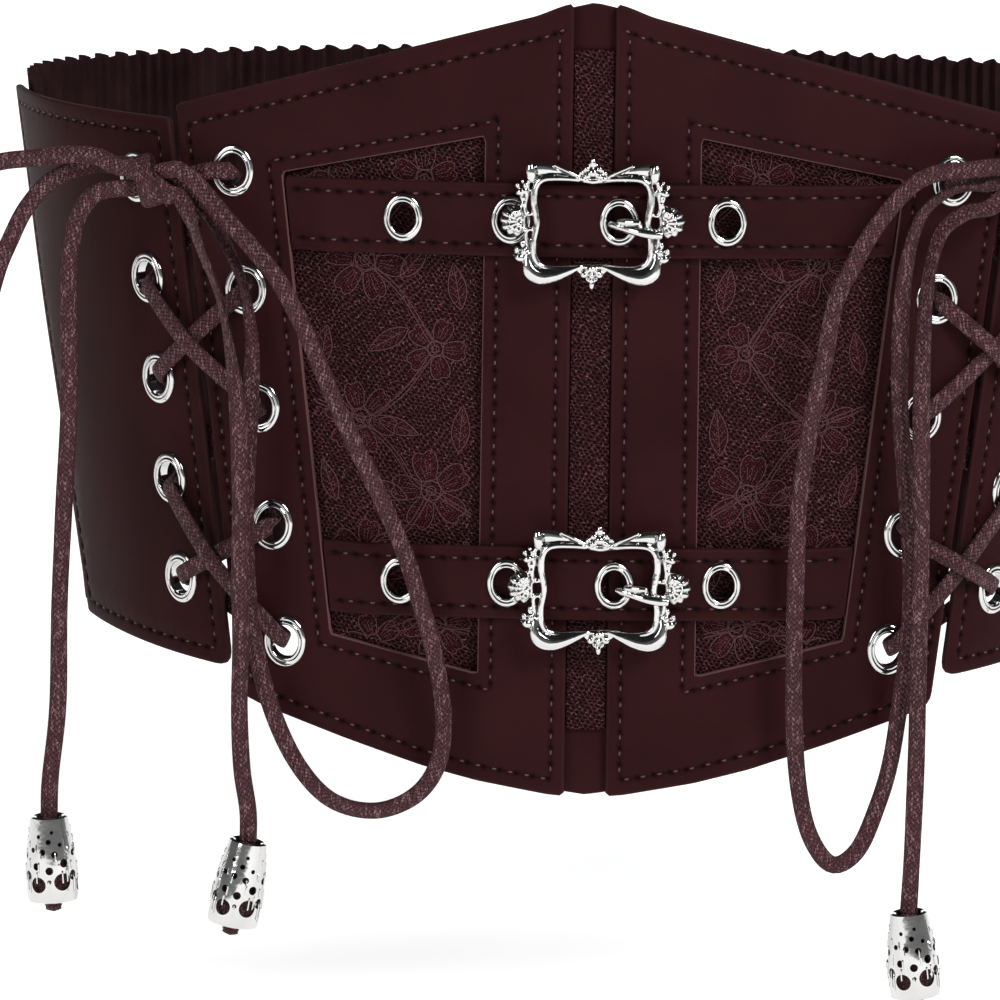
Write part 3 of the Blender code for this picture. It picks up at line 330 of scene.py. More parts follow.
class Shape:
    """Vertices, faces and per-corner places on the cloth, gathered into one mesh."""

    def __init__(self):
        self.points = []
        self.faces = []
        self.places = []
        self.marks = []
        self.count = 0

    def add(self, points, faces, places=None, mark=0.0):
        """points (n, 3), faces as index tuples, places (n, 2) in metres on the piece."""
        points = np.asarray(points, float).reshape(-1, 3)
        if places is None:
            places = points[:, [0, 2]]
        self.points.append(points)
        self.places.append(np.asarray(places, float).reshape(-1, 2))
        self.marks.append(np.broadcast_to(np.asarray(mark, float), (len(points),)))
        self.faces.extend(tuple(int(i) + self.count for i in face) for face in faces)
        self.count += len(points)

    def piece(self, name, slot, *materials, replaces=(), weld=True, sharp=60.0):
        """One object of all that was gathered, riding on the belt."""
        data = bmesh.new()
        place_layer = data.loops.layers.uv.new("place")
        # Each vertex's mark: the leather paints a highlight where it is above zero and shade where it
        # is below
        mark_layer = data.verts.layers.float.new("painted_light")
        verts = [data.verts.new(point) for point in np.concatenate(self.points)]
        places = np.concatenate(self.places)
        marks = np.concatenate(self.marks)
        for vert, mark in zip(verts, marks):
            vert[mark_layer] = mark
        for face in self.faces:
            made = data.faces.new([verts[i] for i in face])
            made.smooth = True
            for loop, index in zip(made.loops, face):
                loop[place_layer].uv = places[index]
        if weld:
            bmesh.ops.remove_doubles(data, verts=data.verts[:], dist=0.000002)
        bmesh.ops.recalc_face_normals(data, faces=data.faces[:])
        mesh = bpy.data.meshes.new(name)
        data.to_mesh(mesh)
        data.free()
        mesh.set_sharp_from_angle(angle=math.radians(sharp))
        for material in materials:
            mesh.materials.append(material)
        return seat(bpy.data.objects.new(name, mesh), replaces)


def seat(obj, replaces=()):
    """Joins a piece to the belt and in the place of its plain solids."""
    if not obj.users_collection:
        bpy.context.scene.collection.objects.link(obj)
    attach(obj, "root")
    if replaces:
        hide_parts(*replaces)
    return obj


def smooth_line(points, steps):
    """Catmull-Rom curve through points, ends held."""
    points = np.asarray(points, float)
    padded = np.vstack([2.0 * points[0] - points[1], points, 2.0 * points[-1] - points[-2]])
    t = (np.arange(steps) / steps)[:, None]
    spans = []
    for index in range(1, len(padded) - 2):
        before, start, end, after = padded[index - 1:index + 3]
        spans.append(0.5 * (
            start * 2.0
            + (end - before) * t
            + (before * 2.0 - start * 5.0 + end * 4.0 - after) * t * t
            + (start * 3.0 - before - end * 3.0 + after) * t * t * t))
    spans.append(points[-1][None, :])
    return np.vstack(spans)


def travelled(points):
    """Distance along a line to each of its points."""
    return np.concatenate([[0.0], np.cumsum(np.linalg.norm(np.diff(points, axis=0), axis=1))])


def even_line(points, pitch):
    """The same line with points at an even pitch, both ends kept."""
    points = np.asarray(points, float)
    run = travelled(points)
    count = max(2, math.ceil(run[-1] / pitch))
    wanted = np.linspace(0.0, run[-1], count + 1)
    return np.stack([np.interp(wanted, run, points[:, axis])
                     for axis in range(points.shape[1])], axis=-1)


def sweep(shape, line, across, half_width, half_depth, sides, squareness=1.0, closed=False,
          mark=0.0, spin=None):
    """A closed section carried along a line; across is where its width points."""
    line = np.asarray(line, float)
    count = len(line)
    if closed:
        heading = unit(np.roll(line, -1, axis=0) - np.roll(line, 1, axis=0))
    else:
        heading = unit(np.gradient(line, axis=0))
    across = np.broadcast_to(np.asarray(across, float), line.shape)
    across = unit(across - heading * np.sum(across * heading, axis=1, keepdims=True))
    depth = np.cross(heading, across)
    if spin is not None:
        turned = across * np.cos(spin)[:, None] + depth * np.sin(spin)[:, None]
        depth = np.cross(heading, turned)
        across = turned
    turn = TAU * np.arange(sides) / sides
    wide = np.sign(np.cos(turn)) * np.abs(np.cos(turn)) ** squareness
    deep = np.sign(np.sin(turn)) * np.abs(np.sin(turn)) ** squareness
    widths = np.broadcast_to(half_width, (count,))[:, None, None]
    depths = np.broadcast_to(half_depth, (count,))[:, None, None]
    rings = (line[:, None, :] + across[:, None, :] * wide[None, :, None] * widths
             + depth[:, None, :] * deep[None, :, None] * depths)
    run = travelled(line)
    girth = turn / TAU * 2.0 * (np.max(half_width) + np.max(half_depth)) * 2.0
    places = np.stack(np.broadcast_arrays(run[:, None], girth[None, :]), axis=-1)
    faces = []
    for ring in range(count if closed else count - 1):
        a, b = ring * sides, ((ring + 1) % count) * sides
        for i in range(sides):
            j = (i + 1) % sides
            faces.append((a + i, a + j, b + j, b + i))
    if not closed:
        faces.append(tuple(range(sides)))
        faces.append(tuple(reversed(range((count - 1) * sides, count * sides))))
    marks = mark if np.ndim(mark) == 0 else np.repeat(mark, sides)
    shape.add(rings.reshape(-1, 3), faces, places.reshape(-1, 2), marks)


def mix(first, second, share):
    return first + (second - first) * share


def knot_centre(side):
    """A bow's knot, standing off the laced gap near its top."""
    height = KNOT_HEIGHTS[side]
    along = lacing_edge(height) + LACING_GAP + KNOT_OFFSET
    return wall(side * along, height, 0.0) + np.array([0.0, -KNOT_STANDOFF, 0.0])


def from_knot(side, route):
    """A bow's route put in its place."""
    return [knot_centre(side) + np.array([-side * inward, -forward, up])
            for inward, forward, up in route]


def value_node(nodes, links, operation, *inputs):
    """A Math node fed by sockets or numbers; gives its output."""
    node = nodes.new("ShaderNodeMath")
    node.operation = operation
    for socket, source in zip(node.inputs, inputs):
        if isinstance(source, (int, float)):
            socket.default_value = source
        else:
            links.new(source, socket)
    return node.outputs[0]


def new_group(name, inputs, outputs):
    """An empty shader group with named sockets: (name, kind, value) and (name, kind)."""
    group = bpy.data.node_groups.new(name, "ShaderNodeTree")
    for label, kind, value in inputs:
        socket = group.interface.new_socket(label, in_out="INPUT", socket_type=kind)
        socket.default_value = value
    for label, kind in outputs:
        group.interface.new_socket(label, in_out="OUTPUT", socket_type=kind)
    enter = group.nodes.new("NodeGroupInput")
    leave = group.nodes.new("NodeGroupOutput")
    return group, enter.outputs, leave.inputs


def use_group(material, group, **values):
    """A group placed in a material, with its plain values set."""
    node = material.node_tree.nodes.new("ShaderNodeGroup")
    node.node_tree = group
    for label, value in values.items():
        node.inputs[label.replace("_", " ")].default_value = value
    return node


def link_height(material, shader, height, distance, strength=1.0):
    """A group's height output made into the shader's bump."""
    bump = material.node_tree.nodes.new("ShaderNodeBump")
    bump.inputs["Distance"].default_value = distance
    bump.inputs["Strength"].default_value = strength
    material.node_tree.links.new(height, bump.inputs["Height"])
    material.node_tree.links.new(bump.outputs["Normal"], shader.inputs["Normal"])


def noise_node(nodes, links, vector, scale, detail=3.0, roughness=0.5):
    """A Noise node; gives its value."""
    node = nodes.new("ShaderNodeTexNoise")
    node.inputs["Scale"].default_value = scale
    node.inputs["Detail"].default_value = detail
    node.inputs["Roughness"].default_value = roughness
    links.new(vector, node.inputs["Vector"])
    return node.outputs["Fac"]


def colour_mix(nodes, links, share, first, second):
    """A Mix node between two colours; gives its output."""
    node = nodes.new("ShaderNodeMix")
    node.data_type = "RGBA"
    for socket, source in ((node.inputs[0], share), (node.inputs[6], first),
                           (node.inputs[7], second)):
        if isinstance(source, (int, float)):
            socket.default_value = source
        elif isinstance(source, tuple):
            socket.default_value = (*source, 1.0)
        else:
            links.new(source, socket)
    return node.outputs[2]


def place_map(material):
    """Metres along and across the piece, as each of its faces keeps them."""
    node = material.node_tree.nodes.new("ShaderNodeUVMap")
    node.uv_map = "place"
    return node.outputs["UV"]


def plait_group():
    """Two slanting sets of strands that pass over and under each other."""
    group, given, result = new_group(
        "plait",
        [("Place", "NodeSocketVector", (0.0, 0.0, 0.0)), ("Pitch", "NodeSocketFloat", 0.001)],
        [("Strand", "NodeSocketFloat"), ("Fleck", "NodeSocketFloat"), ("Tone", "NodeSocketFloat")])
    nodes, links = group.nodes, group.links

    def do(operation, *inputs):
        return value_node(nodes, links, operation, *inputs)

    split = nodes.new("ShaderNodeSeparateXYZ")
    links.new(given["Place"], split.inputs[0])
    along = do("DIVIDE", split.outputs["X"], given["Pitch"])
    around = do("DIVIDE", split.outputs["Y"], given["Pitch"])
    first = do("ADD", do("MULTIPLY", along, PLAIT_SLANT), around)
    second = do("SUBTRACT", do("MULTIPLY", along, PLAIT_SLANT), around)
    parity = do("MODULO", do("ABSOLUTE", do("ADD", do("FLOOR", first), do("FLOOR", second))), 2.0)
    ridge_first = do("ABSOLUTE", do("SINE", do("MULTIPLY", first, math.pi)))
    ridge_second = do("ABSOLUTE", do("SINE", do("MULTIPLY", second, math.pi)))
    keep = do("MULTIPLY", ridge_first, parity)
    other = do("MULTIPLY", ridge_second, do("SUBTRACT", 1.0, parity))
    strand = do("ADD", keep, other)
    place = nodes.new("ShaderNodeTexCoord").outputs["Object"]
    stretch = nodes.new("ShaderNodeVectorMath")
    stretch.operation = "MULTIPLY"
    links.new(place, stretch.inputs[0])
    stretch.inputs[1].default_value = (1.0, 1.0, 0.22)
    flecks = noise_node(nodes, links, stretch.outputs[0], 1700.0, 2.0, 0.7)
    fleck = do("MULTIPLY", do("GREATER_THAN", flecks, 0.565), do("POWER", strand, 1.5))
    links.new(strand, result["Strand"])
    links.new(fleck, result["Fleck"])
    links.new(noise_node(nodes, links, place, 60.0), result["Tone"])
    return group


def cord_material():
    material, shader = new_material("waxed_braid", BRAID_DARK, 0.55, specular=0.14)
    nodes, links = material.node_tree.nodes, material.node_tree.links
    plait = use_group(material, plait_group(), Pitch=PLAIT_PITCH)
    links.new(place_map(material), plait.inputs["Place"])
    strand = colour_mix(nodes, links, plait.outputs["Tone"], BRAID_DARK, BRAID_PALE)
    # Painted shade: where the strands dip into their grooves the colour turns to the groove shade
    body = colour_mix(nodes, links, plait.outputs["Strand"], BRAID_GROOVE_SHADE, strand)
    links.new(colour_mix(nodes, links, plait.outputs["Fleck"], body, BRAID_FLECK),
              shader.inputs["Base Color"])
    link_height(material, shader, plait.outputs["Strand"], PLAIT_RELIEF)
    return material


CORD = cord_material()


def add_cord(name, side, route, with_pieces=(), edge_on=0):
    """A flat braid along its route, turning a little on itself as it hangs. One that
    is edge-on leaves the knot so at its start (1) or its end (-1)."""
    line = even_line(smooth_line(from_knot(side, route), CORD_CURVE_STEPS), CORD_STEP)
    run = travelled(line)
    forward = np.array([0.0, 1.0, 0.0])
    across = unit(np.cross(np.gradient(line, axis=0), forward))
    phase = len(route) * side
    settle = np.minimum(1.0, np.minimum(run, run[-1] - run) / CORD_SETTLE)
    twist = CORD_TWIST * settle * np.sin(TAU * run / CORD_TWIST_LENGTH + phase)
    from_edge = run if edge_on > 0 else run[-1] - run
    twist = twist + abs(edge_on) * EDGE_TURN * np.interp(from_edge, EDGE_TURN_RUNS, (0, 1, 1, 0))
    shape = Shape()
    sweep(shape, line, across, CORD_WIDTH / 2.0, CORD_THICKNESS / 2.0, CORD_SIDES,
          squareness=CORD_SQUARENESS, spin=twist)
    cord = shape.piece(name + "_braid", "cord", CORD, replaces=(name,), weld=False)


# Beads at the ends of the tails. Each is a hollow barrel of cast, bright nickelled
# metal, wider towards its lower end and pierced all round with round holes of
# several sizes. The tail runs in at the top, is knotted inside and its end shows below.

BEAD_LENGTH = 0.0215
BEAD_TOP_RADIUS = 0.0045
BEAD_BOTTOM_RADIUS = 0.0065
BEAD_WALL = 0.0009
BEAD_SIDES = 48
BEAD_PIERCING_SIDES = 20
BEAD_SHARP_EDGE = 35.0
LIP_STANDOFF = 0.00012
LIP_RISE = 0.00004
LIP_HALF_WIDTH = 0.00024
LIP_HALF_DEPTH = 0.00022
LIP_SIDES = 6
POINT_RADIUS = 0.0002
TAIL_WIDTH_SHARE = 0.9
TAIL_END_BACK = 0.003

# Where the tail's knot begins, fills the barrel and ends, as shares of its length
TAIL_KNOT_START = 0.30
TAIL_KNOT = (0.34, 0.45, 0.60, 0.75, 0.90)
TAIL_KNOT_END = 0.95
TAIL_KNOT_WALLS = 2.2
TAIL_KNOT_SIDES = 16

# The tail's run through the bead, as shares of its length
TAIL_RUN = (0.02, 1.12)
TAIL_RUN_STEPS = 12

# The tail's melted end: radius, distance down
TAIL_END = ((0.0002, 0.0), (0.0018, 0.0006), (0.0022, 0.0018), (0.0017, 0.0031), (0.0002, 0.0036))
TAIL_END_SIDES = 12
TAIL_END_FLATNESS = (1.0, 0.7)

# Bead from its top rim down the outside and up the inside: share of the length,
# share of the way from top to bottom radius, wall thicknesses inwards
BEAD_PROFILE = (
    (0.000, -0.10, 1.2), (-0.012, 0.00, 0.6), (0.000, 0.12, 0.0), (0.05, 0.20, 0.0),
    (0.12, 0.30, 0.0), (0.22, 0.45, 0.0), (0.35, 0.66, 0.0), (0.48, 0.84, 0.0),
    (0.60, 0.94, 0.0), (0.74, 1.00, 0.0), (0.86, 1.00, 0.0), (0.95, 0.94, 0.0),
    (0.99, 0.86, 0.0), (1.00, 0.76, 0.4), (0.985, 0.76, 1.0), (0.80, 0.94, 1.0),
    (0.50, 0.80, 1.0), (0.25, 0.42, 1.0), (0.06, 0.10, 1.2),
)

NICKEL = (0.62, 0.615, 0.605)
# Painted shade laid into the plating's hollows
NICKEL_HOLLOW_SHADE = (0.10, 0.098, 0.10)
NICKEL_RELIEF = 0.00008

# Holes pierced in a bead: turn round the axis in degrees, share of the length, radius
BEAD_PIERCINGS = (
    (118, 0.77, 0.00205), (60, 0.74, 0.00225), (90, 0.60, 0.00100), (122, 0.55, 0.00095),
    (54, 0.52, 0.00110), (76, 0.41, 0.00085), (106, 0.38, 0.00080), (134, 0.36, 0.00065),
    (90, 0.26, 0.00065), (60, 0.30, 0.00055), (118, 0.20, 0.00050), (80, 0.15, 0.00045),
    (91, 0.73, 0.00055), (30, 0.68, 0.00130), (150, 0.68, 0.00140), (20, 0.42, 0.00085),
    (164, 0.44, 0.00080), (0, 0.82, 0.00175), (182, 0.80, 0.00185), (205, 0.56, 0.00110),
    (232, 0.78, 0.00190), (262, 0.62, 0.00130), (288, 0.82, 0.00170), (318, 0.66, 0.00160),
    (342, 0.52, 0.00095), (214, 0.34, 0.00075), (276, 0.36, 0.00080), (310, 0.38, 0.00070),
)


def metal_group():
    """Bright plating with soft unevenness, and painted shade: dark grey in its hollows."""
    group, given, result = new_group(
        "plating", [("Scale", "NodeSocketFloat", 300.0)],
        [("Colour", "NodeSocketColor"), ("Roughness", "NodeSocketFloat"),
         ("Height", "NodeSocketFloat")])
    nodes, links = group.nodes, group.links
    place = nodes.new("ShaderNodeTexCoord").outputs["Object"]
    uneven = nodes.new("ShaderNodeTexNoise")
    links.new(place, uneven.inputs["Vector"])
    links.new(given["Scale"], uneven.inputs["Scale"])
    hollow = nodes.new("ShaderNodeNewGeometry").outputs["Pointiness"]
    # Painted shade: where the surface is hollow (low pointiness) the plating turns dark grey
    low = value_node(nodes, links, "GREATER_THAN", 0.482, hollow)
    links.new(colour_mix(nodes, links, low, NICKEL, NICKEL_HOLLOW_SHADE), result["Colour"])
    links.new(value_node(nodes, links, "MULTIPLY_ADD", uneven.outputs["Fac"], 0.14, 0.03),
              result["Roughness"])
    links.new(uneven.outputs["Fac"], result["Height"])
    return group


def metal_material():
    material, shader = new_material("bright_nickel", NICKEL, 0.12, 1.0)
    plating = use_group(material, metal_group(), Scale=260.0)
    links = material.node_tree.links
    links.new(plating.outputs["Colour"], shader.inputs["Base Color"])
    links.new(plating.outputs["Roughness"], shader.inputs["Roughness"])
    link_height(material, shader, plating.outputs["Height"], NICKEL_RELIEF)
    return material


METAL = metal_material()


def lathe(shape, origin, axis, across, profile, sides, stretch=(1.0, 1.0)):
    """A closed profile of (radius, distance along the axis) turned round the axis."""
    axis, across = unit(np.asarray(axis)), unit(np.asarray(across))
    beside = np.cross(axis, across)
    turn = TAU * np.arange(sides) / sides
    spokes = (across[None, :] * np.cos(turn)[:, None] * stretch[0]
              + beside[None, :] * np.sin(turn)[:, None] * stretch[1])
    profile = np.asarray(profile, float)
    rows = (np.asarray(origin)[None, None, :] + spokes[:, None, :] * profile[None, :, 0, None]
            + axis[None, None, :] * profile[None, :, 1, None])
    rings = len(profile)
    faces = []
    for i in range(sides):
        j = (i + 1) % sides
        for k in range(rings):
            m = (k + 1) % rings
            faces.append((i * rings + k, i * rings + m, j * rings + m, j * rings + k))
    shape.add(rows.reshape(-1, 3), faces)


def modified_mesh(obj):
    """A new mesh of an object as its modifiers leave it."""
    bpy.context.view_layer.update()
    return bpy.data.meshes.new_from_object(
        obj.evaluated_get(bpy.context.evaluated_depsgraph_get()))


def add_bead(name, side, route):
    """A pierced barrel with a raised lip round each hole, and the tail's end in it."""
    placed = from_knot(side, route)
    top, bottom = placed[-2], placed[-1]
    axis = unit(bottom - top)
    across = unit(np.cross(axis, np.array([0.0, 1.0, 0.0])))
    forward = np.cross(axis, across)

    def radius_at(share):
        shares = [row[0] for row in BEAD_PROFILE[2:13]]
        flares = [row[1] for row in BEAD_PROFILE[2:13]]
        return mix(BEAD_TOP_RADIUS, BEAD_BOTTOM_RADIUS, np.interp(share, shares, flares))

    barrel, piercers, lips = Shape(), Shape(), Shape()
    profile = [(mix(BEAD_TOP_RADIUS, BEAD_BOTTOM_RADIUS, flare) - inwards * BEAD_WALL,
                share * BEAD_LENGTH) for share, flare, inwards in BEAD_PROFILE]
    lathe(barrel, top, axis, across, profile, BEAD_SIDES)
    for degrees, share, radius in BEAD_PIERCINGS:
        turn = math.radians(degrees)
        spoke = across * math.cos(turn) + forward * math.sin(turn)
        centre = top + axis * share * BEAD_LENGTH
        start = centre + spoke * (radius_at(share) - 3.0 * BEAD_WALL)
        depth = 5.0 * BEAD_WALL
        lathe(piercers, start, spoke, axis,
              [(0.0, 0.0), (radius, 0.0), (radius, depth), (0.0, depth)], BEAD_PIERCING_SIDES)
        ring = TAU * np.arange(BEAD_PIERCING_SIDES) / BEAD_PIERCING_SIDES
        beside = np.cross(spoke, axis)
        offsets = (axis[None, :] * np.cos(ring)[:, None]
                   + beside[None, :] * np.sin(ring)[:, None]) * (radius + LIP_STANDOFF)
        line = centre + offsets
        drop = (line - top) @ axis
        flat = line - top - drop[:, None] * axis
        line = top + drop[:, None] * axis + unit(flat) * (
            radius_at(drop / BEAD_LENGTH)[:, None] + LIP_RISE)
        sweep(lips, line, unit(flat), LIP_HALF_WIDTH, LIP_HALF_DEPTH, LIP_SIDES, closed=True)
    cutter = piercers.piece("piercers", "metal", METAL)
    body = barrel.piece("barrel", "metal", METAL)
    cut = body.modifiers.new("pierced", "BOOLEAN")
    cut.operation = "DIFFERENCE"
    cut.object = cutter
    cut.use_self = True
    pierced = modified_mesh(body)
    lipped = lips.piece("lips", "metal", METAL)
    data = bmesh.new()
    data.from_mesh(pierced)
    data.from_mesh(lipped.data)
    mesh = bpy.data.meshes.new(name)
    data.to_mesh(mesh)
    data.free()
    for spare in (cutter, body, lipped):
        bpy.data.objects.remove(spare)
    mesh.set_sharp_from_angle(angle=math.radians(BEAD_SHARP_EDGE))
    mesh.materials.clear()
    mesh.materials.append(METAL)
    bead = seat(bpy.data.objects.new(name + "_pierced", mesh), (name,))

    stub = Shape()
    inside = np.array([top + axis * share * BEAD_LENGTH
                       for share in np.linspace(*TAIL_RUN, TAIL_RUN_STEPS)])
    sweep(stub, inside, across, CORD_WIDTH / 2.0 * TAIL_WIDTH_SHARE, CORD_THICKNESS / 2.0,
          CORD_SIDES, squareness=CORD_PULLED_SQUARENESS)
    knot = [(radius_at(share) - TAIL_KNOT_WALLS * BEAD_WALL, share * BEAD_LENGTH)
            for share in TAIL_KNOT]
    knot.insert(0, (POINT_RADIUS, TAIL_KNOT_START * BEAD_LENGTH))
    knot.append((POINT_RADIUS, TAIL_KNOT_END * BEAD_LENGTH))
    lathe(stub, top, axis, across, knot, TAIL_KNOT_SIDES)
    lathe(stub, inside[-1] - axis * TAIL_END_BACK, axis, across, TAIL_END, TAIL_END_SIDES,
          TAIL_END_FLATNESS)
    tail_end = stub.piece(name + "_tail_end", "cord", CORD, weld=False)
    return bead, tail_end


for side, word in SIDES:
    add_cord(f"{word}_outer_loop", side, OUTER_LOOP)
    add_cord(f"{word}_inner_loop", side, INNER_LOOPS[side], edge_on=-1)
    for place, route in (("outer", OUTER_TAIL), ("inner", INNER_TAILS[side])):
        add_cord(f"{word}_{place}_tail", side, route[:-1],
                 add_bead(f"{word}_{place}_bead", side, route), int(place == "inner"))


# Front panels. Two pointed halves of smooth oxblood leather, 2.2 mm thick, meeting
# at the placket. Edges are turned and pressed round, a lock-stitched line follows
# each edge and the window. The rounded edges are painted paler as a highlight, the
# window's cut edge most, and the needle holes and seam grooves are painted dark as shade.

PANEL_THICKNESS = 0.0022
FRONT_PEAK_TOP = 0.0995
FRONT_PEAK_BOTTOM = 0.1011
FRONT_CORNER_TOP = 0.0717
FRONT_CORNER_BOTTOM = 0.0760
PLACKET_HALF_WIDTH = 0.0052
WINDOW = ((0.0270, 0.0660), (0.0275, -0.0700), (0.0649, -0.0610), (0.0782, 0.0556))
LACING_ROWS = 5
FRONT_EYELET_TOP = 0.0556
FRONT_EYELET_PITCH = 0.02975
FRONT_EYELET_INSET = 0.0133
LACING_EYELET_HEIGHT = 0.0133
LACING_EYELET_HOLE = 0.0084
EYELET_WIDTH_SHARE = 0.82
EYELET_HOLE_MARGIN = 0.0006
OVAL_SIDES = 40
LEATHER_STEP = 0.0040
EDGE_STEP = 0.0016
EDGE_ROUND = 0.0008
CUT_EDGE_ROUND = 0.00035
CORNER_ROUND = 0.0010
STITCH_PITCH = 0.0042
STITCH_LENGTH = 0.0014
STITCH_RADIUS = 0.00026
STITCH_SINK = 0.00065
SEAM_REACH = 0.0011
SEAM_STEP = 0.0012
SEAM_CORNER_ROUND = 0.0006
WINDOW_SEAM_ROUND = 0.0004
LEATHER_SHARP_EDGE = 70.0
# Painted highlight: how far the turned edges and the cut edges are painted towards the highlight
# colour
TURNED_EDGE_HIGHLIGHT = 0.07
CUT_EDGE_HIGHLIGHT = 0.85
WINDOW_SEAM = 0.0033
INNER_SEAM = 0.0035
TOP_SEAM = 0.0056
BOTTOM_SEAM = 0.0040
LACED_SEAM = 0.0027

HIDE_COLOUR = (0.0240, 0.0062, 0.0067)
# Colour of the painted highlight on the leather's rounded edges
HIDE_EDGE_HIGHLIGHT = (0.15, 0.075, 0.075)
# Colour of the painted shade in needle holes and seam grooves
NEEDLE_HOLE_SHADE = (0.0012, 0.0004, 0.0005)
THREAD_COLOUR = (0.084, 0.035, 0.036)
LIE_DEPTH = 0.00010

# A stitch from hole to hole: share of its length, height and half width in thread radii
STITCH_PROFILE = np.array([(-0.50, -0.96, 0.60), (-0.36, 0.56, 1.00), (-0.12, 1.44, 1.15),
                           (0.12, 1.44, 1.15), (0.36, 0.56, 1.00), (0.50, -0.96, 0.60)])

# Top and bottom edges of a front panel: share of the half width, share of the rise
TOP_EDGE = ((0.080, 0.965), (0.135, 0.88))
BOTTOM_EDGE = ((0.985, 0.09), (0.930, 0.18), (0.700, 0.46), (0.470, 0.72), (0.310, 0.86),
               (0.110, 0.985))


def leather_group():
    """Fine pebbled grain, soft tone changes, a painted highlight where the mark is above
    zero and painted shade in the needle holes and seam grooves where it is below."""
    group, given, result = new_group(
        "leather",
        [("Colour", "NodeSocketColor", (0.03, 0.01, 0.01, 1.0)),
         ("Rim Colour", "NodeSocketColor", (0.1, 0.05, 0.05, 1.0)),
         ("Rim", "NodeSocketFloat", 0.0), ("Grain", "NodeSocketFloat", 1500.0)],
        [("Colour", "NodeSocketColor"), ("Roughness", "NodeSocketFloat"),
         ("Height", "NodeSocketFloat")])
    nodes, links = group.nodes, group.links
    place = nodes.new("ShaderNodeTexCoord").outputs["Object"]
    pebble = nodes.new("ShaderNodeTexVoronoi")
    pebble.feature = "SMOOTH_F1"
    links.new(place, pebble.inputs["Vector"])
    links.new(given["Grain"], pebble.inputs["Scale"])
    fine = noise_node(nodes, links, place, 4200.0, 2.0, 0.6)
    broad = noise_node(nodes, links, place, 34.0, 4.0, 0.55)
    height = value_node(nodes, links, "MULTIPLY_ADD", pebble.outputs["Distance"], 0.7, fine)
    tone = value_node(nodes, links, "MULTIPLY_ADD", broad, 0.9, 0.55)
    shade = nodes.new("ShaderNodeVectorMath")
    shade.operation = "SCALE"
    links.new(given["Colour"], shade.inputs[0])
    links.new(tone, shade.inputs["Scale"])
    # Painted highlight: where the mark is above zero the edge is painted paler
    edge_highlighted = colour_mix(nodes, links, given["Rim"], shade.outputs[0], given["Rim Colour"])
    # Painted shade: where the mark is below zero the needle holes and grooves go nearly black
    hole = value_node(nodes, links, "MULTIPLY", given["Rim"], -1.0)
    links.new(colour_mix(nodes, links, hole, edge_highlighted, NEEDLE_HOLE_SHADE), result["Colour"])
    links.new(value_node(nodes, links, "MULTIPLY_ADD", broad, 0.16, 0.40), result["Roughness"])
    links.new(height, result["Height"])
    return group


def leather_material():
    material, shader = new_material("oxblood_leather", HIDE_COLOUR, 0.42, specular=0.03)
    hide = use_group(material, leather_group(), Colour=(*HIDE_COLOUR, 1.0),
                     Rim_Colour=(*HIDE_EDGE_HIGHLIGHT, 1.0))
    links = material.node_tree.links
    # The mark that carries the painted edge highlight and the painted hole shade
    painted_light = material.node_tree.nodes.new("ShaderNodeAttribute")
    painted_light.attribute_name = "painted_light"
    links.new(painted_light.outputs["Fac"], hide.inputs["Rim"])
    links.new(hide.outputs["Colour"], shader.inputs["Base Color"])
    links.new(hide.outputs["Roughness"], shader.inputs["Roughness"])
    link_height(material, shader, hide.outputs["Height"], 0.00006, 0.8)
    return material


LEATHER = leather_material()
THREAD = new_material("seam_thread", THREAD_COLOUR, 0.34, specular=0.3)[0]


def mirrored(points, side):
    """(along, height) points on the right (side 1) or the left (side -1)."""
    points = np.asarray(points, float)
    return points * np.array([side, 1.0])


def turning(loop):
    """1 for a loop that runs anticlockwise in (along, height), -1 for clockwise."""
    x, y = loop[:, 0], loop[:, 1]
    return 1.0 if np.sum(x * np.roll(y, -1) - y * np.roll(x, -1)) > 0.0 else -1.0


def inset_corners(corners, distances):
    """A polygon with each edge moved inwards by its own distance."""
    corners = np.asarray(corners, float)
    count = len(corners)
    distances = np.broadcast_to(distances, (count,))
    way = turning(corners)
    lines = []
    for index in range(count):
        start, end = corners[index], corners[(index + 1) % count]
        heading = (end - start) / np.linalg.norm(end - start)
        inward = np.array([-heading[1], heading[0]]) * way
        lines.append((start + inward * distances[index], heading))
    moved = []
    for index in range(count):
        (p, d), (q, e) = lines[index - 1], lines[index]
        cross = d[0] * e[1] - d[1] * e[0]
        if abs(cross) < 1e-6:
            moved.append(q)
            continue
        t = ((q[0] - p[0]) * e[1] - (q[1] - p[1]) * e[0]) / cross
        moved.append(p + d * t)
    return np.array(moved)


def rounded_loop(corners, radius, step):
    """A closed loop of even points with its corners rounded."""
    corners = np.asarray(corners, float)
    count = len(corners)
    radii = np.broadcast_to(radius, (count,))
    outline = []
    for index in range(count):
        before, here, after = corners[index - 1], corners[index], corners[(index + 1) % count]
        into = (before - here) / np.linalg.norm(before - here)
        away = (after - here) / np.linalg.norm(after - here)
        half = math.acos(np.clip(np.dot(into, away), -1.0, 1.0)) / 2.0
        reach = min(radii[index] / max(math.tan(half), 0.05),
                    0.45 * np.linalg.norm(before - here), 0.45 * np.linalg.norm(after - here))
        for share in np.linspace(0.0, 1.0, 6):
            outline.append((1 - share) ** 2 * (here + into * reach)
                           + 2 * share * (1 - share) * here + share ** 2 * (here + away * reach))
    outline.append(outline[0])
    return even_line(outline, step)[:-1]


def inset_loop(loop, distance):
    """A dense loop moved inwards (or outwards when negative) point by point."""
    heading = np.roll(loop, -1, axis=0) - np.roll(loop, 1, axis=0)
    heading /= np.maximum(np.linalg.norm(heading, axis=1, keepdims=True), 1e-9)
    return loop + np.stack([-heading[:, 1], heading[:, 0]], axis=1) * turning(loop) * distance


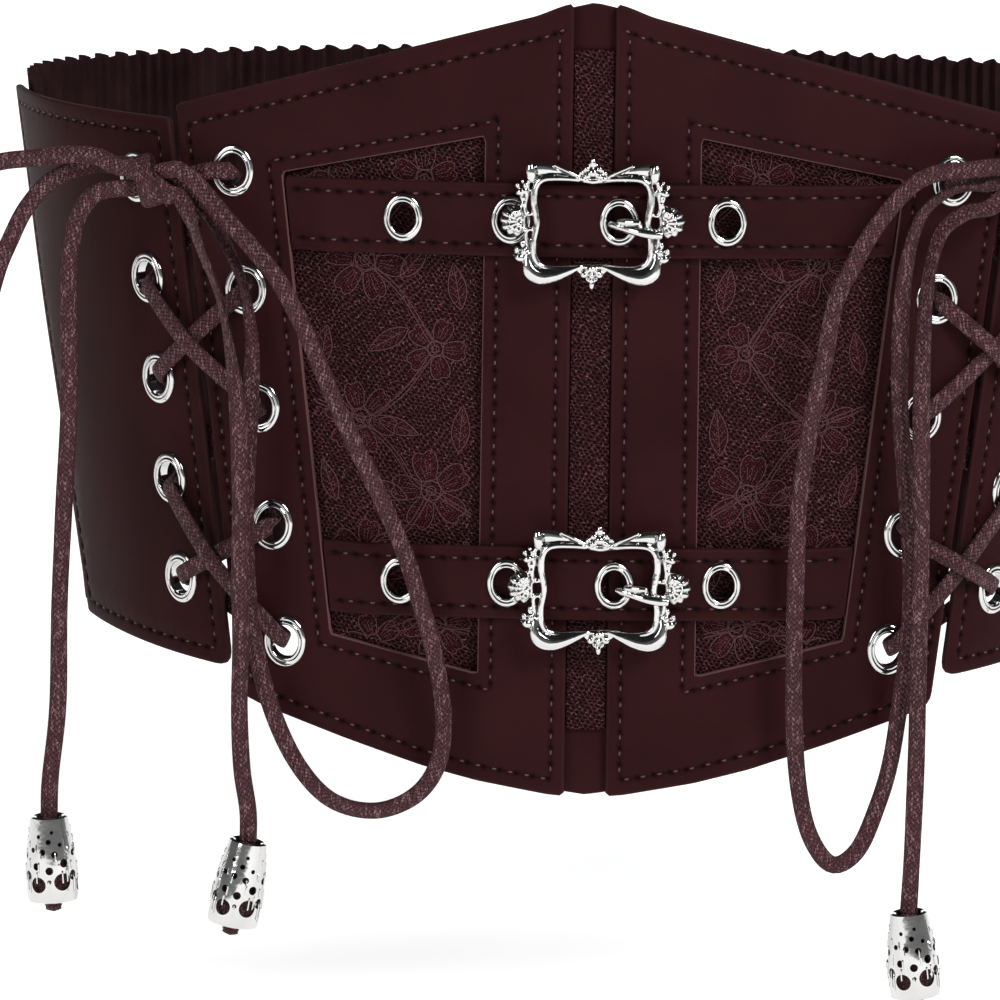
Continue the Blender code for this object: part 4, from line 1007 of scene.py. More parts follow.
def inside(loop, points):
    """Which points a closed loop holds."""
    x, y = points[:, 0][:, None], points[:, 1][:, None]
    x1, y1 = loop[:, 0][None, :], loop[:, 1][None, :]
    x2, y2 = np.roll(loop[:, 0], -1)[None, :], np.roll(loop[:, 1], -1)[None, :]
    spans = (y1 > y) != (y2 > y)
    with np.errstate(divide="ignore", invalid="ignore"):
        crossing = x < x1 + (y - y1) * (x2 - x1) / (y2 - y1)
    return np.sum(spans & crossing, axis=1) % 2 == 1


def nearest(points, others):
    """Distance from each point to the nearest of the others."""
    result = np.full(len(points), 1e9)
    for start in range(0, len(others), 400):
        block = others[start:start + 400]
        apart = np.linalg.norm(points[:, None, :] - block[None, :, :], axis=2)
        result = np.minimum(result, apart.min(axis=1))
    return result


def seam_rows(seam, closed, pitch=STITCH_PITCH):
    """Points beside a seam and how far each sinks: a shallow groove with a deeper
    pinhole between one stitch and the next."""
    line = np.vstack([seam, seam[:1]]) if closed else seam
    count = 4 * max(1, round(travelled(line)[-1] / pitch))
    dense = even_line(line, travelled(line)[-1] / count * 0.9999)
    dense = dense[:count] if closed else dense
    heading = np.gradient(dense, axis=0)
    heading /= np.maximum(np.linalg.norm(heading, axis=1, keepdims=True), 1e-9)
    beside = np.stack([-heading[:, 1], heading[:, 0]], axis=1)
    hole = np.where(np.arange(len(dense)) % 4 == 0, 1.0, 0.42)
    points, sinks = [], []
    for reach, share in ((0.0, 1.0), (0.35, 0.55), (-0.35, 0.55), (1.0, 0.0), (-1.0, 0.0)):
        points.append(dense + beside * reach * SEAM_REACH)
        sinks.append(-STITCH_SINK * share * hole)
    return np.vstack(points), np.concatenate(sinks)


def add_stitches(shape, seam, closed, rise, pitch=STITCH_PITCH, length=STITCH_LENGTH):
    """Threads along a seam, each going down into its pinhole at both ends."""
    line = np.vstack([seam, seam[:1]]) if closed else np.asarray(seam)
    run = travelled(line)
    count = max(1, round(run[-1] / pitch))
    real = run[-1] / count
    for index in range(count):
        where = (index + 0.5) * real + STITCH_PROFILE[:, 0] * length
        along = np.interp(where, run, line[:, 0])
        height = np.interp(where, run, line[:, 1])
        out = rise(along, height) - STITCH_SINK + STITCH_PROFILE[:, 1] * STITCH_RADIUS
        points = wall(along, height, out)
        outward = wall_axes(along[2], height[2])[2]
        across = np.cross(points[3] - points[2], outward)
        sweep(shape, points, across, STITCH_PROFILE[:, 2] * STITCH_RADIUS, STITCH_RADIUS, 6)


def add_sheet(shape, outline, holes, rise, thickness, edge_round, step=LEATHER_STEP,
              rows=(), edge_highlight=TURNED_EDGE_HIGHLIGHT):
    """Leather cut to dense loops in (along, height), with rounded rims.

    rows are (points, sinks) beside seams; rise gives the face's distance out."""
    rims = [(outline, edge_round, edge_highlight, 1.0)]
    rims += [(hole, CUT_EDGE_ROUND, CUT_EDGE_HIGHLIGHT, -1.0) for hole in holes]
    loops = [inset_loop(loop, way * radius) for loop, radius, mark, way in rims]
    points, sinks, edges = [], [], []
    for loop in loops:
        start = sum(len(block) for block in points)
        points.append(loop)
        sinks.append(np.zeros(len(loop)))
        edges += [(start + i, start + (i + 1) % len(loop)) for i in range(len(loop))]
    border = np.vstack(loops)
    for row_points, row_sinks in rows:
        keep = inside(loops[0], row_points) & (nearest(row_points, border) > 0.0005)
        for hole in loops[1:]:
            keep &= ~inside(hole, row_points)
        points.append(row_points[keep])
        sinks.append(row_sinks[keep])
    taken = np.vstack(points)
    low, high = outline.min(axis=0), outline.max(axis=0)
    grid = np.stack(np.meshgrid(np.arange(low[0], high[0], step) + 0.37 * step,
                                np.arange(low[1], high[1], step) + 0.41 * step),
                    axis=-1).reshape(-1, 2)
    grid = grid[inside(loops[0], grid)]
    for hole in loops[1:]:
        grid = grid[~inside(hole, grid)]
    grid = grid[nearest(grid, taken) > 0.55 * step]
    points.append(grid)
    sinks.append(np.zeros(len(grid)))
    places, sinks = np.vstack(points), np.concatenate(sinks)
    flat = delaunay_2d_cdt([Vector(p) for p in places], edges, [], 0, 1e-7)
    found = np.array([tuple(p) for p in flat[0]])
    sink = np.array([sinks[list(origin)].min() if len(origin) else 0.0 for origin in flat[3]])
    triangles = np.array([list(t) for t in flat[2] if len(t) == 3])
    centres = found[triangles].mean(axis=1)
    keep = inside(loops[0], centres)
    for hole in loops[1:]:
        keep &= ~inside(hole, centres)
    triangles = triangles[keep]
    out = rise(found[:, 0], found[:, 1])
    # The face's mark paints shade into the seam grooves and needle holes, darkest in the holes
    shape.add(wall(found[:, 0], found[:, 1], out + sink), triangles, found,
              np.clip((sink + 0.12 * STITCH_SINK) / (0.6 * STITCH_SINK), -1.0, 0.0))
    shape.add(wall(found[:, 0], found[:, 1], out - thickness), triangles[:, ::-1], found)
    for (loop, radius, mark, way), start in zip(rims, loops):
        arc = np.linspace(0.0, math.radians(90.0), 4)
        drops = [(radius * (1.0 - math.sin(a)), radius * (1.0 - math.cos(a))) for a in arc]
        profile = drops + [(inset, thickness - drop) for inset, drop in reversed(drops)]
        # Painted highlight: the rounded edge is painted paler, most on its outer side, fading onto
        # the face
        rings, marks = [], []
        for inset, drop in profile:
            ring = inset_loop(loop, way * inset) if inset < radius else start
            ring_out = rise(start[:, 0], start[:, 1]) - drop
            rings.append(wall(ring[:, 0], ring[:, 1], ring_out))
            marks.append(np.full(len(loop), mark * min(1.0, 1.6 * (1.0 - inset / radius))))
        count = len(loop)
        faces = [(k * count + i, k * count + (i + 1) % count,
                  (k + 1) * count + (i + 1) % count, (k + 1) * count + i)
                 for k in range(len(profile) - 1) for i in range(count)]
        shape.add(np.vstack(rings), faces, np.tile(loop, (len(profile), 1)),
                  np.concatenate(marks))


def oval(centre, hole_height):
    """The leather's hole for an eyelet, a little wider than the eyelet's own."""
    half_height = hole_height / 2.0 + EYELET_HOLE_MARGIN
    turn = TAU * np.arange(OVAL_SIDES) / OVAL_SIDES
    return np.stack([centre[0] + EYELET_WIDTH_SHARE * half_height * np.cos(turn),
                     centre[1] + half_height * np.sin(turn)], axis=1)


def front_eyelet(row):
    """An eyelet's centre on the right front panel, counted from the top."""
    height = FRONT_EYELET_TOP - row * FRONT_EYELET_PITCH
    return lacing_edge(height) - FRONT_EYELET_INSET, height


def front_corners():
    """The right front panel from its inner top round to its inner bottom."""
    top_edge = lacing_edge(FRONT_CORNER_TOP)
    bottom_edge = lacing_edge(-FRONT_CORNER_BOTTOM)
    corners = [(PLACKET_HALF_WIDTH, FRONT_PEAK_TOP)]
    corners += [(top_edge * across, mix(FRONT_CORNER_TOP, FRONT_PEAK_TOP, rise))
                for across, rise in TOP_EDGE]
    corners += [(top_edge, FRONT_CORNER_TOP), (bottom_edge, -FRONT_CORNER_BOTTOM)]
    corners += [(bottom_edge * across, -mix(FRONT_CORNER_BOTTOM, FRONT_PEAK_BOTTOM, drop))
                for across, drop in BOTTOM_EDGE]
    corners.append((PLACKET_HALF_WIDTH, -FRONT_PEAK_BOTTOM))
    return corners


def leather_lie(along, height):
    """The slight unevenness of a leather face, in metres."""
    return LIE_DEPTH * (np.sin(along * 71.0 + 1.3) * np.sin(height * 83.0 + 0.4)
                        + 0.6 * np.sin(along * 151.0 + height * 97.0))


def add_front(side, word):
    """A front panel with its window, lacing holes and two stitched seams."""
    corners = front_corners()
    seam_insets = [TOP_SEAM] * (len(TOP_EDGE) + 1) + [LACED_SEAM]
    seam_insets += [BOTTOM_SEAM] * (len(BOTTOM_EDGE) + 1) + [INNER_SEAM]
    outline = mirrored(rounded_loop(corners, CORNER_ROUND, EDGE_STEP), side)
    window = mirrored(rounded_loop(WINDOW, CUT_EDGE_ROUND, EDGE_STEP), side)
    edge_seam = mirrored(rounded_loop(inset_corners(corners, seam_insets),
                                      SEAM_CORNER_ROUND, SEAM_STEP), side)
    window_seam = mirrored(rounded_loop(inset_corners(WINDOW, -WINDOW_SEAM),
                                        WINDOW_SEAM_ROUND, SEAM_STEP), side)
    holes = [window] + [mirrored(oval(front_eyelet(row), LACING_EYELET_HOLE), side)
                        for row in range(LACING_ROWS)]
    panel, stitches = Shape(), Shape()
    add_sheet(panel, outline, holes, leather_lie, PANEL_THICKNESS, EDGE_ROUND,
              rows=(seam_rows(edge_seam, True), seam_rows(window_seam, True)))
    for seam in (edge_seam, window_seam):
        add_stitches(stitches, seam, True, leather_lie)
    panel.piece(f"{word}_front_leather", "leather", LEATHER,
                replaces=(f"{word}_front_panel",), sharp=LEATHER_SHARP_EDGE)
    stitches.piece(f"{word}_front_stitches", "cord", THREAD, weld=False)


for side, word in SIDES:
    add_front(side, word)


# Side panels. The same leather, laced to the front across a 2 mm gap and sewn to
# the elastic at their slanting back ends, with a line of stitching round all edges.

SIDE_TOP = 0.0682
SIDE_BOTTOM = 0.0711
SIDE_BACK_TOP = 0.0697
SIDE_BACK_BOTTOM = 0.0661
SIDE_LENGTH_TOP = 0.083
SIDE_LENGTH_BOTTOM = 0.063
SIDE_CORNER_RADIUS = 0.004
SIDE_EYELET_TOP = 0.0525
SIDE_EYELET_PITCH = 0.0255
SIDE_EYELET_INSET = 0.0130
SIDE_SEAM = 0.0040
SIDE_SEAM_ROUND = 0.0012


def side_eyelet(row):
    """An eyelet's centre on the right side panel, counted from the top."""
    height = SIDE_EYELET_TOP - row * SIDE_EYELET_PITCH
    return lacing_edge(height) + LACING_GAP + SIDE_EYELET_INSET, height


def add_side(side, word):
    """A side panel with its lacing holes and one seam all round."""
    corners = [(lacing_edge(height) + LACING_GAP + distance, height) for distance, height in (
        (0.0, SIDE_TOP), (0.0, -SIDE_BOTTOM), (SIDE_LENGTH_BOTTOM, -SIDE_BACK_BOTTOM),
        (SIDE_LENGTH_TOP, SIDE_BACK_TOP))]
    radii = (CORNER_ROUND, SIDE_CORNER_RADIUS, CORNER_ROUND, CORNER_ROUND)
    outline = mirrored(rounded_loop(corners, radii, EDGE_STEP), side)
    seam = mirrored(rounded_loop(inset_corners(corners, SIDE_SEAM), SIDE_SEAM_ROUND, SEAM_STEP),
                    side)
    holes = [mirrored(oval(side_eyelet(row), LACING_EYELET_HOLE), side)
             for row in range(LACING_ROWS)]
    panel, stitches = Shape(), Shape()
    add_sheet(panel, outline, holes, leather_lie, PANEL_THICKNESS, EDGE_ROUND,
              rows=(seam_rows(seam, True),))
    add_stitches(stitches, seam, True, leather_lie)
    panel.piece(f"{word}_side_leather", "leather", LEATHER,
                replaces=(f"{word}_side_panel",), sharp=LEATHER_SHARP_EDGE)
    stitches.piece(f"{word}_side_stitches", "cord", THREAD, weld=False)


for side, word in SIDES:
    add_side(side, word)


# Straps. Two leather straps 18 mm wide run level across the front, tucked into the
# windows at both ends. Each has two lines of wide-set stitches and four eyelets, and
# swells forward where the buckle holds it.

STRAP_WIDTH = 0.0184
STRAP_THICKNESS = 0.0020
STRAP_TUCK_LENGTH = 0.012
STRAP_SEAM = 0.0031
STRAP_STITCH_PITCH = 0.0056
STRAP_STITCH_LENGTH = 0.0016
STRAP_EYELET_FIRST = -0.047
STRAP_EYELET_PITCH = 0.0268
STRAP_EYELET_COUNT = 4
STRAP_EYELET_HEIGHT = 0.0122
STRAP_EYELET_HOLE = 0.0078
STRAP_CORNER_ROUND = 0.0005
STRAP_SEAM_END = 0.0035
STRAP_SEAM_STEP = 0.002
STRAP_STEP = 0.0025
# Painted highlight on the strap's rounded edges
STRAP_EDGE_HIGHLIGHT = 0.05
STRAP_SINK = 0.0001
STRAP_SWELL_SHARE = 0.62
STRAP_SWELL = 0.0010
STRAP_SWELL_REACH = 0.0135
GAP = 0.0003
STRAP_FACE = GAP + STRAP_THICKNESS

# Straps: name, height of the centre line, buckle's centre along the front and
# its height above the strap's line
STRAPS = (
    ("upper", 0.0455, 0.0000, 0.0000),
    ("lower", -0.0462, 0.0029, -0.0006),
)


def window_outer_edge(height):
    """Distance from the centre front to a window's slanting edge at a height."""
    (bottom_along, bottom), (top_along, top) = WINDOW[2], WINDOW[3]
    return mix(bottom_along, top_along, (height - bottom) / (top - bottom))


def strap_eyelets(height):
    return [(STRAP_EYELET_FIRST + index * STRAP_EYELET_PITCH, height)
            for index in range(STRAP_EYELET_COUNT)]


def smoothed(share):
    """A share that starts and ends softly."""
    share = np.clip(share, 0.0, 1.0)
    return share * share * (3.0 - 2.0 * share)


def strap_rise(buckle_along, middle):
    """How far out a strap's face lies: sunk at its ends and swollen in its buckle."""
    def rise(along, height):
        lift = smoothed((window_outer_edge(height) - GAP - np.abs(along)) / STRAP_TUCK_LENGTH)
        swell = smoothed(1.6 * (1.0 - np.abs(along - buckle_along) / STRAP_SWELL_REACH))
        across = np.clip(1.0 - ((height - middle) / (STRAP_SWELL_SHARE * STRAP_WIDTH)) ** 2,
                         0.0, 1.0)
        return -STRAP_SINK + (STRAP_FACE + STRAP_SINK) * lift + STRAP_SWELL * swell * across
    return rise


def add_strap(word, height, buckle_along):
    """A strap with its holes and its two seams."""
    half = STRAP_WIDTH / 2.0
    corners = [(side * (window_outer_edge(height + edge * half) - GAP), height + edge * half)
               for side, edge in ((-1, 1), (-1, -1), (1, -1), (1, 1))]
    outline = rounded_loop(corners, STRAP_CORNER_ROUND, EDGE_STEP)
    rise = strap_rise(buckle_along, height)
    holes = [oval(place, STRAP_EYELET_HOLE) for place in strap_eyelets(height)]
    strap, stitches = Shape(), Shape()
    seams = []
    for edge in (-1, 1):
        line_height = height + edge * (half - STRAP_SEAM)
        reach = window_outer_edge(line_height) - STRAP_SEAM_END
        seams.append(even_line([(-reach, line_height), (reach, line_height)], STRAP_SEAM_STEP))
    rows = [seam_rows(seam, False, STRAP_STITCH_PITCH) for seam in seams]
    add_sheet(strap, outline, holes, rise, STRAP_THICKNESS, EDGE_ROUND, STRAP_STEP, rows,
              STRAP_EDGE_HIGHLIGHT)
    for seam in seams:
        add_stitches(stitches, seam, False, rise, STRAP_STITCH_PITCH, STRAP_STITCH_LENGTH)
    strap.piece(f"{word}_strap_leather", "leather", LEATHER, replaces=(f"{word}_strap",),
                sharp=LEATHER_SHARP_EDGE)
    stitches.piece(f"{word}_strap_stitches", "cord", THREAD, weld=False)


for word, height, buckle_along, buckle_drop in STRAPS:
    add_strap(word, height, buckle_along)


# Eyelets. Bright rolled eyelets, a little taller than wide, pressed into the leather
# round every lacing hole and along the straps: a domed flange with a thin groove
# and a tube that goes down through the leather.

EYELET_WALL = 0.0007
EYELET_SIDES = 48
EYELET_SHARP_EDGE = 55.0

# Eyelet from the outer edge of its flange over the crest and down the hole: share
# of the way from hole to outer edge, height above the leather in millimetres
EYELET_PROFILE = (
    (1.00, -0.05), (0.99, 0.22), (0.93, 0.46), (0.82, 0.66), (0.68, 0.80), (0.56, 0.82),
    (0.47, 0.74), (0.42, 0.70), (0.34, 0.86), (0.22, 0.95), (0.10, 0.86), (0.02, 0.55),
    (0.00, 0.10),
)


def add_eyelet(name, along, level, height, hole_height, out, depth):
    """One eyelet, with its tube reaching down by depth."""
    sideways, upward, outward = wall_axes(along, level)
    inner, outer = hole_height / 2.0, height / 2.0
    profile = [(mix(inner, outer, share), rise * MILLIMETRE) for share, rise in EYELET_PROFILE]
    profile += [(inner, -depth), (inner + EYELET_WALL * 0.6, -depth),
                (inner + EYELET_WALL * 0.6, -0.05 * MILLIMETRE)]
    ring = Shape()
    lathe(ring, wall(along, level, out), outward, sideways, profile, EYELET_SIDES,
          (EYELET_WIDTH_SHARE, 1.0))
    ring.piece(name + "_ring", "metal", METAL, replaces=(name,), sharp=EYELET_SHARP_EDGE)


for side, word in SIDES:
    for place, where in (("front", front_eyelet), ("side", side_eyelet)):
        for row in range(LACING_ROWS):
            along, level = where(row)
            add_eyelet(f"{word}_{place}_eyelet_{row + 1}", side * along, level,
                       LACING_EYELET_HEIGHT, LACING_EYELET_HOLE,
                       leather_lie(side * along, level), PANEL_THICKNESS + GAP)
for word, height, buckle_along, buckle_drop in STRAPS:
    rise = strap_rise(buckle_along, height)
    for index, (along, level) in enumerate(strap_eyelets(height)):
        add_eyelet(f"{word}_strap_eyelet_{index + 1}", along, level, STRAP_EYELET_HEIGHT,
                   STRAP_EYELET_HOLE, rise(along, level), STRAP_THICKNESS)


# Lace windows. Wine-coloured net with woven flowers and leaves outlined in a heavier
# paler thread, stretched flat over dark cloth behind each window and caught by the
# window's seam.

LACE_OVERLAP = 0.004
LACE_THICKNESS = 0.0010
LACE_OUT = -PANEL_THICKNESS - GAP
NET_PITCH = 0.00095
LACE_THREAD = 0.00016
PETAL_RISE = 0.00012

# Flowers: share across the window, height, radius, petals, turn in degrees
FLOWERS = (
    (0.62, 0.034, 0.0105, 6, 10.0), (0.26, 0.012, 0.0080, 5, 40.0), (0.70, -0.006, 0.0095, 6, 75.0),
    (0.30, -0.024, 0.0105, 5, 5.0), (0.74, -0.040, 0.0085, 5, 30.0), (0.28, -0.058, 0.0090, 6, 50.0),
    (0.30, 0.055, 0.0085, 5, 20.0), (0.80, 0.058, 0.0080, 5, 60.0), (0.72, -0.063, 0.0075, 5, 0.0),
)

# Leaves: share across the window, height, length, width, turn in degrees
LEAVES = (
    (0.36, 0.034, 0.0110, 0.0044, 130.0), (0.14, 0.028, 0.0120, 0.0046, 80.0),
    (0.52, 0.014, 0.0120, 0.0044, -30.0), (0.88, 0.012, 0.0110, 0.0044, 100.0),
    (0.48, -0.008, 0.0110, 0.0040, 200.0), (0.12, -0.008, 0.0120, 0.0046, 95.0),
    (0.58, -0.024, 0.0120, 0.0044, 20.0), (0.92, -0.022, 0.0110, 0.0040, 70.0),
    (0.50, -0.044, 0.0110, 0.0042, 150.0), (0.10, -0.042, 0.0110, 0.0044, 100.0),
    (0.52, -0.058, 0.0100, 0.0040, -20.0), (0.56, 0.050, 0.0100, 0.0040, 40.0),
)

# Stems: shares across the window with heights, from end to end
STEMS = (
    ((0.95, 0.050), (0.80, 0.044), (0.62, 0.034), (0.44, 0.026), (0.26, 0.012)),
    ((0.26, 0.012), (0.42, 0.002), (0.58, -0.004), (0.70, -0.006), (0.95, -0.002)),
    ((0.70, -0.006), (0.52, -0.014), (0.40, -0.022), (0.30, -0.024), (0.06, -0.030)),
    ((0.30, -0.024), (0.46, -0.034), (0.62, -0.036), (0.74, -0.040), (0.96, -0.046)),
    ((0.74, -0.040), (0.56, -0.050), (0.42, -0.056), (0.28, -0.058), (0.06, -0.060)),
    ((0.62, 0.034), (0.50, 0.044), (0.40, 0.050), (0.30, 0.055), (0.10, 0.046)),
)


def net_group():
    """Uneven six-sided net with ribs running across, on the place map."""
    group, given, result = new_group(
        "net",
        [("Place", "NodeSocketVector", (0.0, 0.0, 0.0)), ("Pitch", "NodeSocketFloat", 0.001)],
        [("Thread", "NodeSocketFloat"), ("Tone", "NodeSocketFloat"), ("Glint", "NodeSocketFloat")])
    nodes, links = group.nodes, group.links

    def do(operation, *inputs):
        return value_node(nodes, links, operation, *inputs)

    coordinates = nodes.new("ShaderNodeTexCoord").outputs["Object"]
    wobble = noise_node(nodes, links, coordinates, 150.0, 3.0)
    breaks = noise_node(nodes, links, coordinates, 1100.0, 2.0, 0.6)
    split = nodes.new("ShaderNodeSeparateXYZ")
    links.new(given["Place"], split.inputs[0])
    across = do("DIVIDE", split.outputs["X"], given["Pitch"])
    up = do("DIVIDE", split.outputs["Y"], given["Pitch"])
    across = do("MULTIPLY_ADD", wobble, 3.2, do("MULTIPLY", across, 0.74))
    up = do("MULTIPLY_ADD", wobble, -4.0, do("MULTIPLY_ADD", across, 0.34, up))
    waves = []
    for turn in (90.0, 210.0, 330.0):
        angle = math.radians(turn)
        ray = do("ADD", do("MULTIPLY", across, TAU * math.cos(angle)),
                 do("MULTIPLY", up, TAU * math.sin(angle)))
        waves.append(do("COSINE", ray))
    lattice = do("ADD", do("ADD", waves[0], waves[1]), waves[2])
    cell = nodes.new("ShaderNodeMapRange")
    links.new(lattice, cell.inputs["Value"])
    cell.inputs["From Min"].default_value = 1.1
    cell.inputs["From Max"].default_value = -0.9
    thread = do("MULTIPLY", cell.outputs["Result"], do("MULTIPLY_ADD", breaks, 2.2, -0.45))
    glints = noise_node(nodes, links, coordinates, 2600.0, 1.0, 0.6)
    links.new(thread, result["Thread"])
    links.new(noise_node(nodes, links, coordinates, 110.0, 3.0), result["Tone"])
    links.new(do("MULTIPLY", do("GREATER_THAN", glints, 0.61), thread), result["Glint"])
    return group


NET_GROUP = net_group()
# Random tone: the net's threads vary between a darker and a paler share of their colour
LACE_DARK_TONE = 0.55
LACE_PALE_TONE = 1.5
NET_RELIEF = 0.00030
PETAL_PITCH = 0.00062
OUTLINE_COLOUR = (0.072, 0.028, 0.030)


def lace_material(name, pitch, ground, thread, glint):
    material, shader = new_material(name, thread, 0.62, specular=0.05)
    nodes, links = material.node_tree.nodes, material.node_tree.links
    net = use_group(material, NET_GROUP, Pitch=pitch)
    links.new(place_map(material), net.inputs["Place"])
    toned = colour_mix(nodes, links, net.outputs["Tone"],
                     tuple(LACE_DARK_TONE * part for part in thread),
                     tuple(LACE_PALE_TONE * part for part in thread))
    body = colour_mix(nodes, links, net.outputs["Thread"], ground, toned)
    links.new(colour_mix(nodes, links, net.outputs["Glint"], body, glint),
              shader.inputs["Base Color"])
    link_height(material, shader, net.outputs["Thread"], NET_RELIEF)
    return material


LACE_NET = lace_material("lace_net", NET_PITCH, (0.0040, 0.0010, 0.0013),
                         (0.046, 0.0115, 0.0135), (0.19, 0.085, 0.09))
LACE_PETAL = lace_material("lace_petals", PETAL_PITCH, (0.011, 0.0018, 0.0026),
                           (0.052, 0.0085, 0.0115), (0.18, 0.07, 0.075))
LACE_CORD = new_material("lace_outline_thread", OUTLINE_COLOUR, 0.6, specular=0.2)[0]

# How the threads are drawn: step along a line, sides, waver, shortest run in steps
LACE_LINE_STEP = 0.0006
LACE_LINE_SIDES = 5
LACE_LINE_WAVER = 0.00003
LACE_LINE_SHORTEST = 3

# Woven areas: their inner rings, a petal's veins, a flower's eye and a leaf's veins
FILL_RINGS = (0.5, 0.94, 1.0)
PETAL_VEINS = (-0.35, 0.0, 0.35)
FLOWER_EYE = (0.12, 0.24)
LEAF_VEINS = (3, 5, 7, 9)

LACE_CORNER_ROUND = 0.0005
LACE_EDGE_ROUND = 0.0002
LACE_STEP = 0.004
STEM_HALF_WIDTH = 0.00045


def window_edges(height):
    """The window's inner and outer edges at a height."""
    (top_along, top), (bottom_along, bottom) = WINDOW[0], WINDOW[1]
    return (mix(bottom_along, top_along, (height - bottom) / (top - bottom)),
            window_outer_edge(height))


def lace_lie(along, height):
    """The lace and the placket's strip lie level behind the leather."""
    return np.full_like(along, LACE_OUT, dtype=float)


def lace_spot(share, height):
    """A place in the window: share of the way outwards, and height."""
    inner, outer = window_edges(height)
    return np.array([mix(inner, outer, share), height])


def thread_runs(line, window):
    """The parts of a line that lie inside the window."""
    runs = [[]]
    for point, kept in zip(line, inside(window, line)):
        if kept:
            runs[-1].append(point)
        else:
            runs.append([])
    return [np.array(run) for run in runs if len(run) > LACE_LINE_SHORTEST]


def add_lace_line(shape, line, side, window, radius=LACE_THREAD, out=0.0):
    """A heavier thread sewn along a line, where it lies inside the window."""
    for run in thread_runs(even_line(line, LACE_LINE_STEP), window):
        run = run * np.array([side, 1.0])
        wave = np.arange(len(run))
        rise = LACE_OUT + out + radius * 0.6 + LACE_LINE_WAVER * np.sin(wave * 1.9)
        points = wall(run[:, 0], run[:, 1], rise)
        outward = wall_axes(run[0, 0], run[0, 1])[2]
        across = np.cross(np.gradient(points, axis=0), outward)
        sweep(shape, points, across, radius * (1.0 + 0.3 * np.sin(wave * 2.4)), radius * 0.8,
              LACE_LINE_SIDES)


def add_lace_fill(shape, loop, side, window, out):
    """A closed woven area: a low dome of cloth inside a loop."""
    centre = loop.mean(axis=0)
    if not inside(window, loop).all():
        return
    rings = [np.array([centre])] + [mix(centre, loop, share) for share in FILL_RINGS]
    rises = (out, out, out, 0.0)
    points = np.vstack(rings) * np.array([side, 1.0])
    heights = np.concatenate([np.full(len(ring), LACE_OUT + rise)
                              for ring, rise in zip(rings, rises)])
    count = len(loop)
    faces = [(0, 1 + i, 1 + (i + 1) % count) for i in range(count)]
    for k in (1, 2):
        a, b = 1 + (k - 1) * count, 1 + k * count
        faces += [(a + i, b + i, b + (i + 1) % count, a + (i + 1) % count) for i in range(count)]
    shape.add(wall(points[:, 0], points[:, 1], heights), faces, points)


def add_flower(threads, fills, side, window, centre, radius, petals, turn):
    """A round flower: notched petals with veins, and a small eye."""
    for petal in range(petals):
        middle = math.radians(turn) + TAU * petal / petals
        swing = np.linspace(-1.0, 1.0, 22)
        reach = radius * (0.30 + 0.70 * (1.0 - np.abs(swing) ** 3.0)
                          - 0.10 * np.exp(-(swing / 0.16) ** 2))
        angle = middle + swing * TAU / petals * 0.47
        loop = centre + np.stack([np.cos(angle), np.sin(angle)], axis=1) * reach[:, None]
        add_lace_fill(fills, loop, side, window, PETAL_RISE)
        closed = np.vstack([loop, loop[:1]])
        add_lace_line(threads, closed, side, window, out=PETAL_RISE)
        for lean in PETAL_VEINS:
            away = middle + lean * TAU / petals * 0.45
            heading = np.array([math.cos(away), math.sin(away)])
            add_lace_line(threads, [centre + heading * radius * 0.36,
                                    centre + heading * radius * (0.74 - 0.2 * abs(lean))],
                          side, window, LACE_THREAD * 0.55, PETAL_RISE)
    ring = TAU * np.arange(17) / 16
    for share in FLOWER_EYE:
        eye = centre + np.stack([np.cos(ring), np.sin(ring)], axis=1) * radius * share
        add_lace_line(threads, eye, side, window, out=PETAL_RISE)


def add_leaf(threads, fills, side, window, centre, length, width, turn):
    """A pointed leaf with its midrib and side veins."""
    angle = math.radians(turn)
    heading = np.array([math.cos(angle), math.sin(angle)])
    beside = np.array([-heading[1], heading[0]])
    share = np.linspace(0.0, 1.0, 14)
    bulge = np.sin(math.pi * share ** 0.85) * width / 2.0
    spine = centre + np.outer((share - 0.5) * length, heading)
    loop = np.vstack([spine + np.outer(bulge, beside), (spine - np.outer(bulge, beside))[-2:0:-1]])
    add_lace_fill(fills, loop, side, window, PETAL_RISE)
    add_lace_line(threads, np.vstack([loop, loop[:1]]), side, window, out=PETAL_RISE)
    add_lace_line(threads, spine[1:-1], side, window, LACE_THREAD * 0.7, PETAL_RISE)
    for index in LEAF_VEINS:
        for way in (-1.0, 1.0):
            tip = spine[index + 2] + beside * way * bulge[index + 2] * 0.8
            add_lace_line(threads, [spine[index], tip], side, window, LACE_THREAD * 0.5,
                          PETAL_RISE)


def add_lace(side, word):
    """The net behind a window, with its flowers, leaves and double stems."""
    grown = inset_corners(WINDOW, -LACE_OVERLAP)
    outline = mirrored(rounded_loop(grown, LACE_CORNER_ROUND, 0.003), side)
    window = rounded_loop(inset_corners(WINDOW, 0.0004), LACE_CORNER_ROUND, 0.002)
    ground, fills, threads = Shape(), Shape(), Shape()
    add_sheet(ground, outline, [], lace_lie, LACE_THICKNESS, LACE_EDGE_ROUND, step=LACE_STEP)
    for share, height, radius, petals, turn in FLOWERS:
        add_flower(threads, fills, side, window, lace_spot(share, height), radius, petals, turn)
    for share, height, length, width, turn in LEAVES:
        add_leaf(threads, fills, side, window, lace_spot(share, height), length, width, turn)
    for stem in STEMS:
        line = smooth_line([lace_spot(*stop) for stop in stem], 12)
        beside = np.gradient(line, axis=0)
        beside = unit(np.stack([-beside[:, 1], beside[:, 0]], axis=1)) * STEM_HALF_WIDTH
        for way in (-1.0, 1.0):
            add_lace_line(threads, line + beside * way, side, window)
    cloth = ground.piece(f"{word}_lace_net", "lace", LACE_NET, replaces=(f"{word}_lace_panel",))
    petals = fills.piece(f"{word}_lace_petals", "lace", LACE_PETAL, weld=False)
    outlines = threads.piece(f"{word}_lace_threads", "lace", LACE_CORD, weld=False)


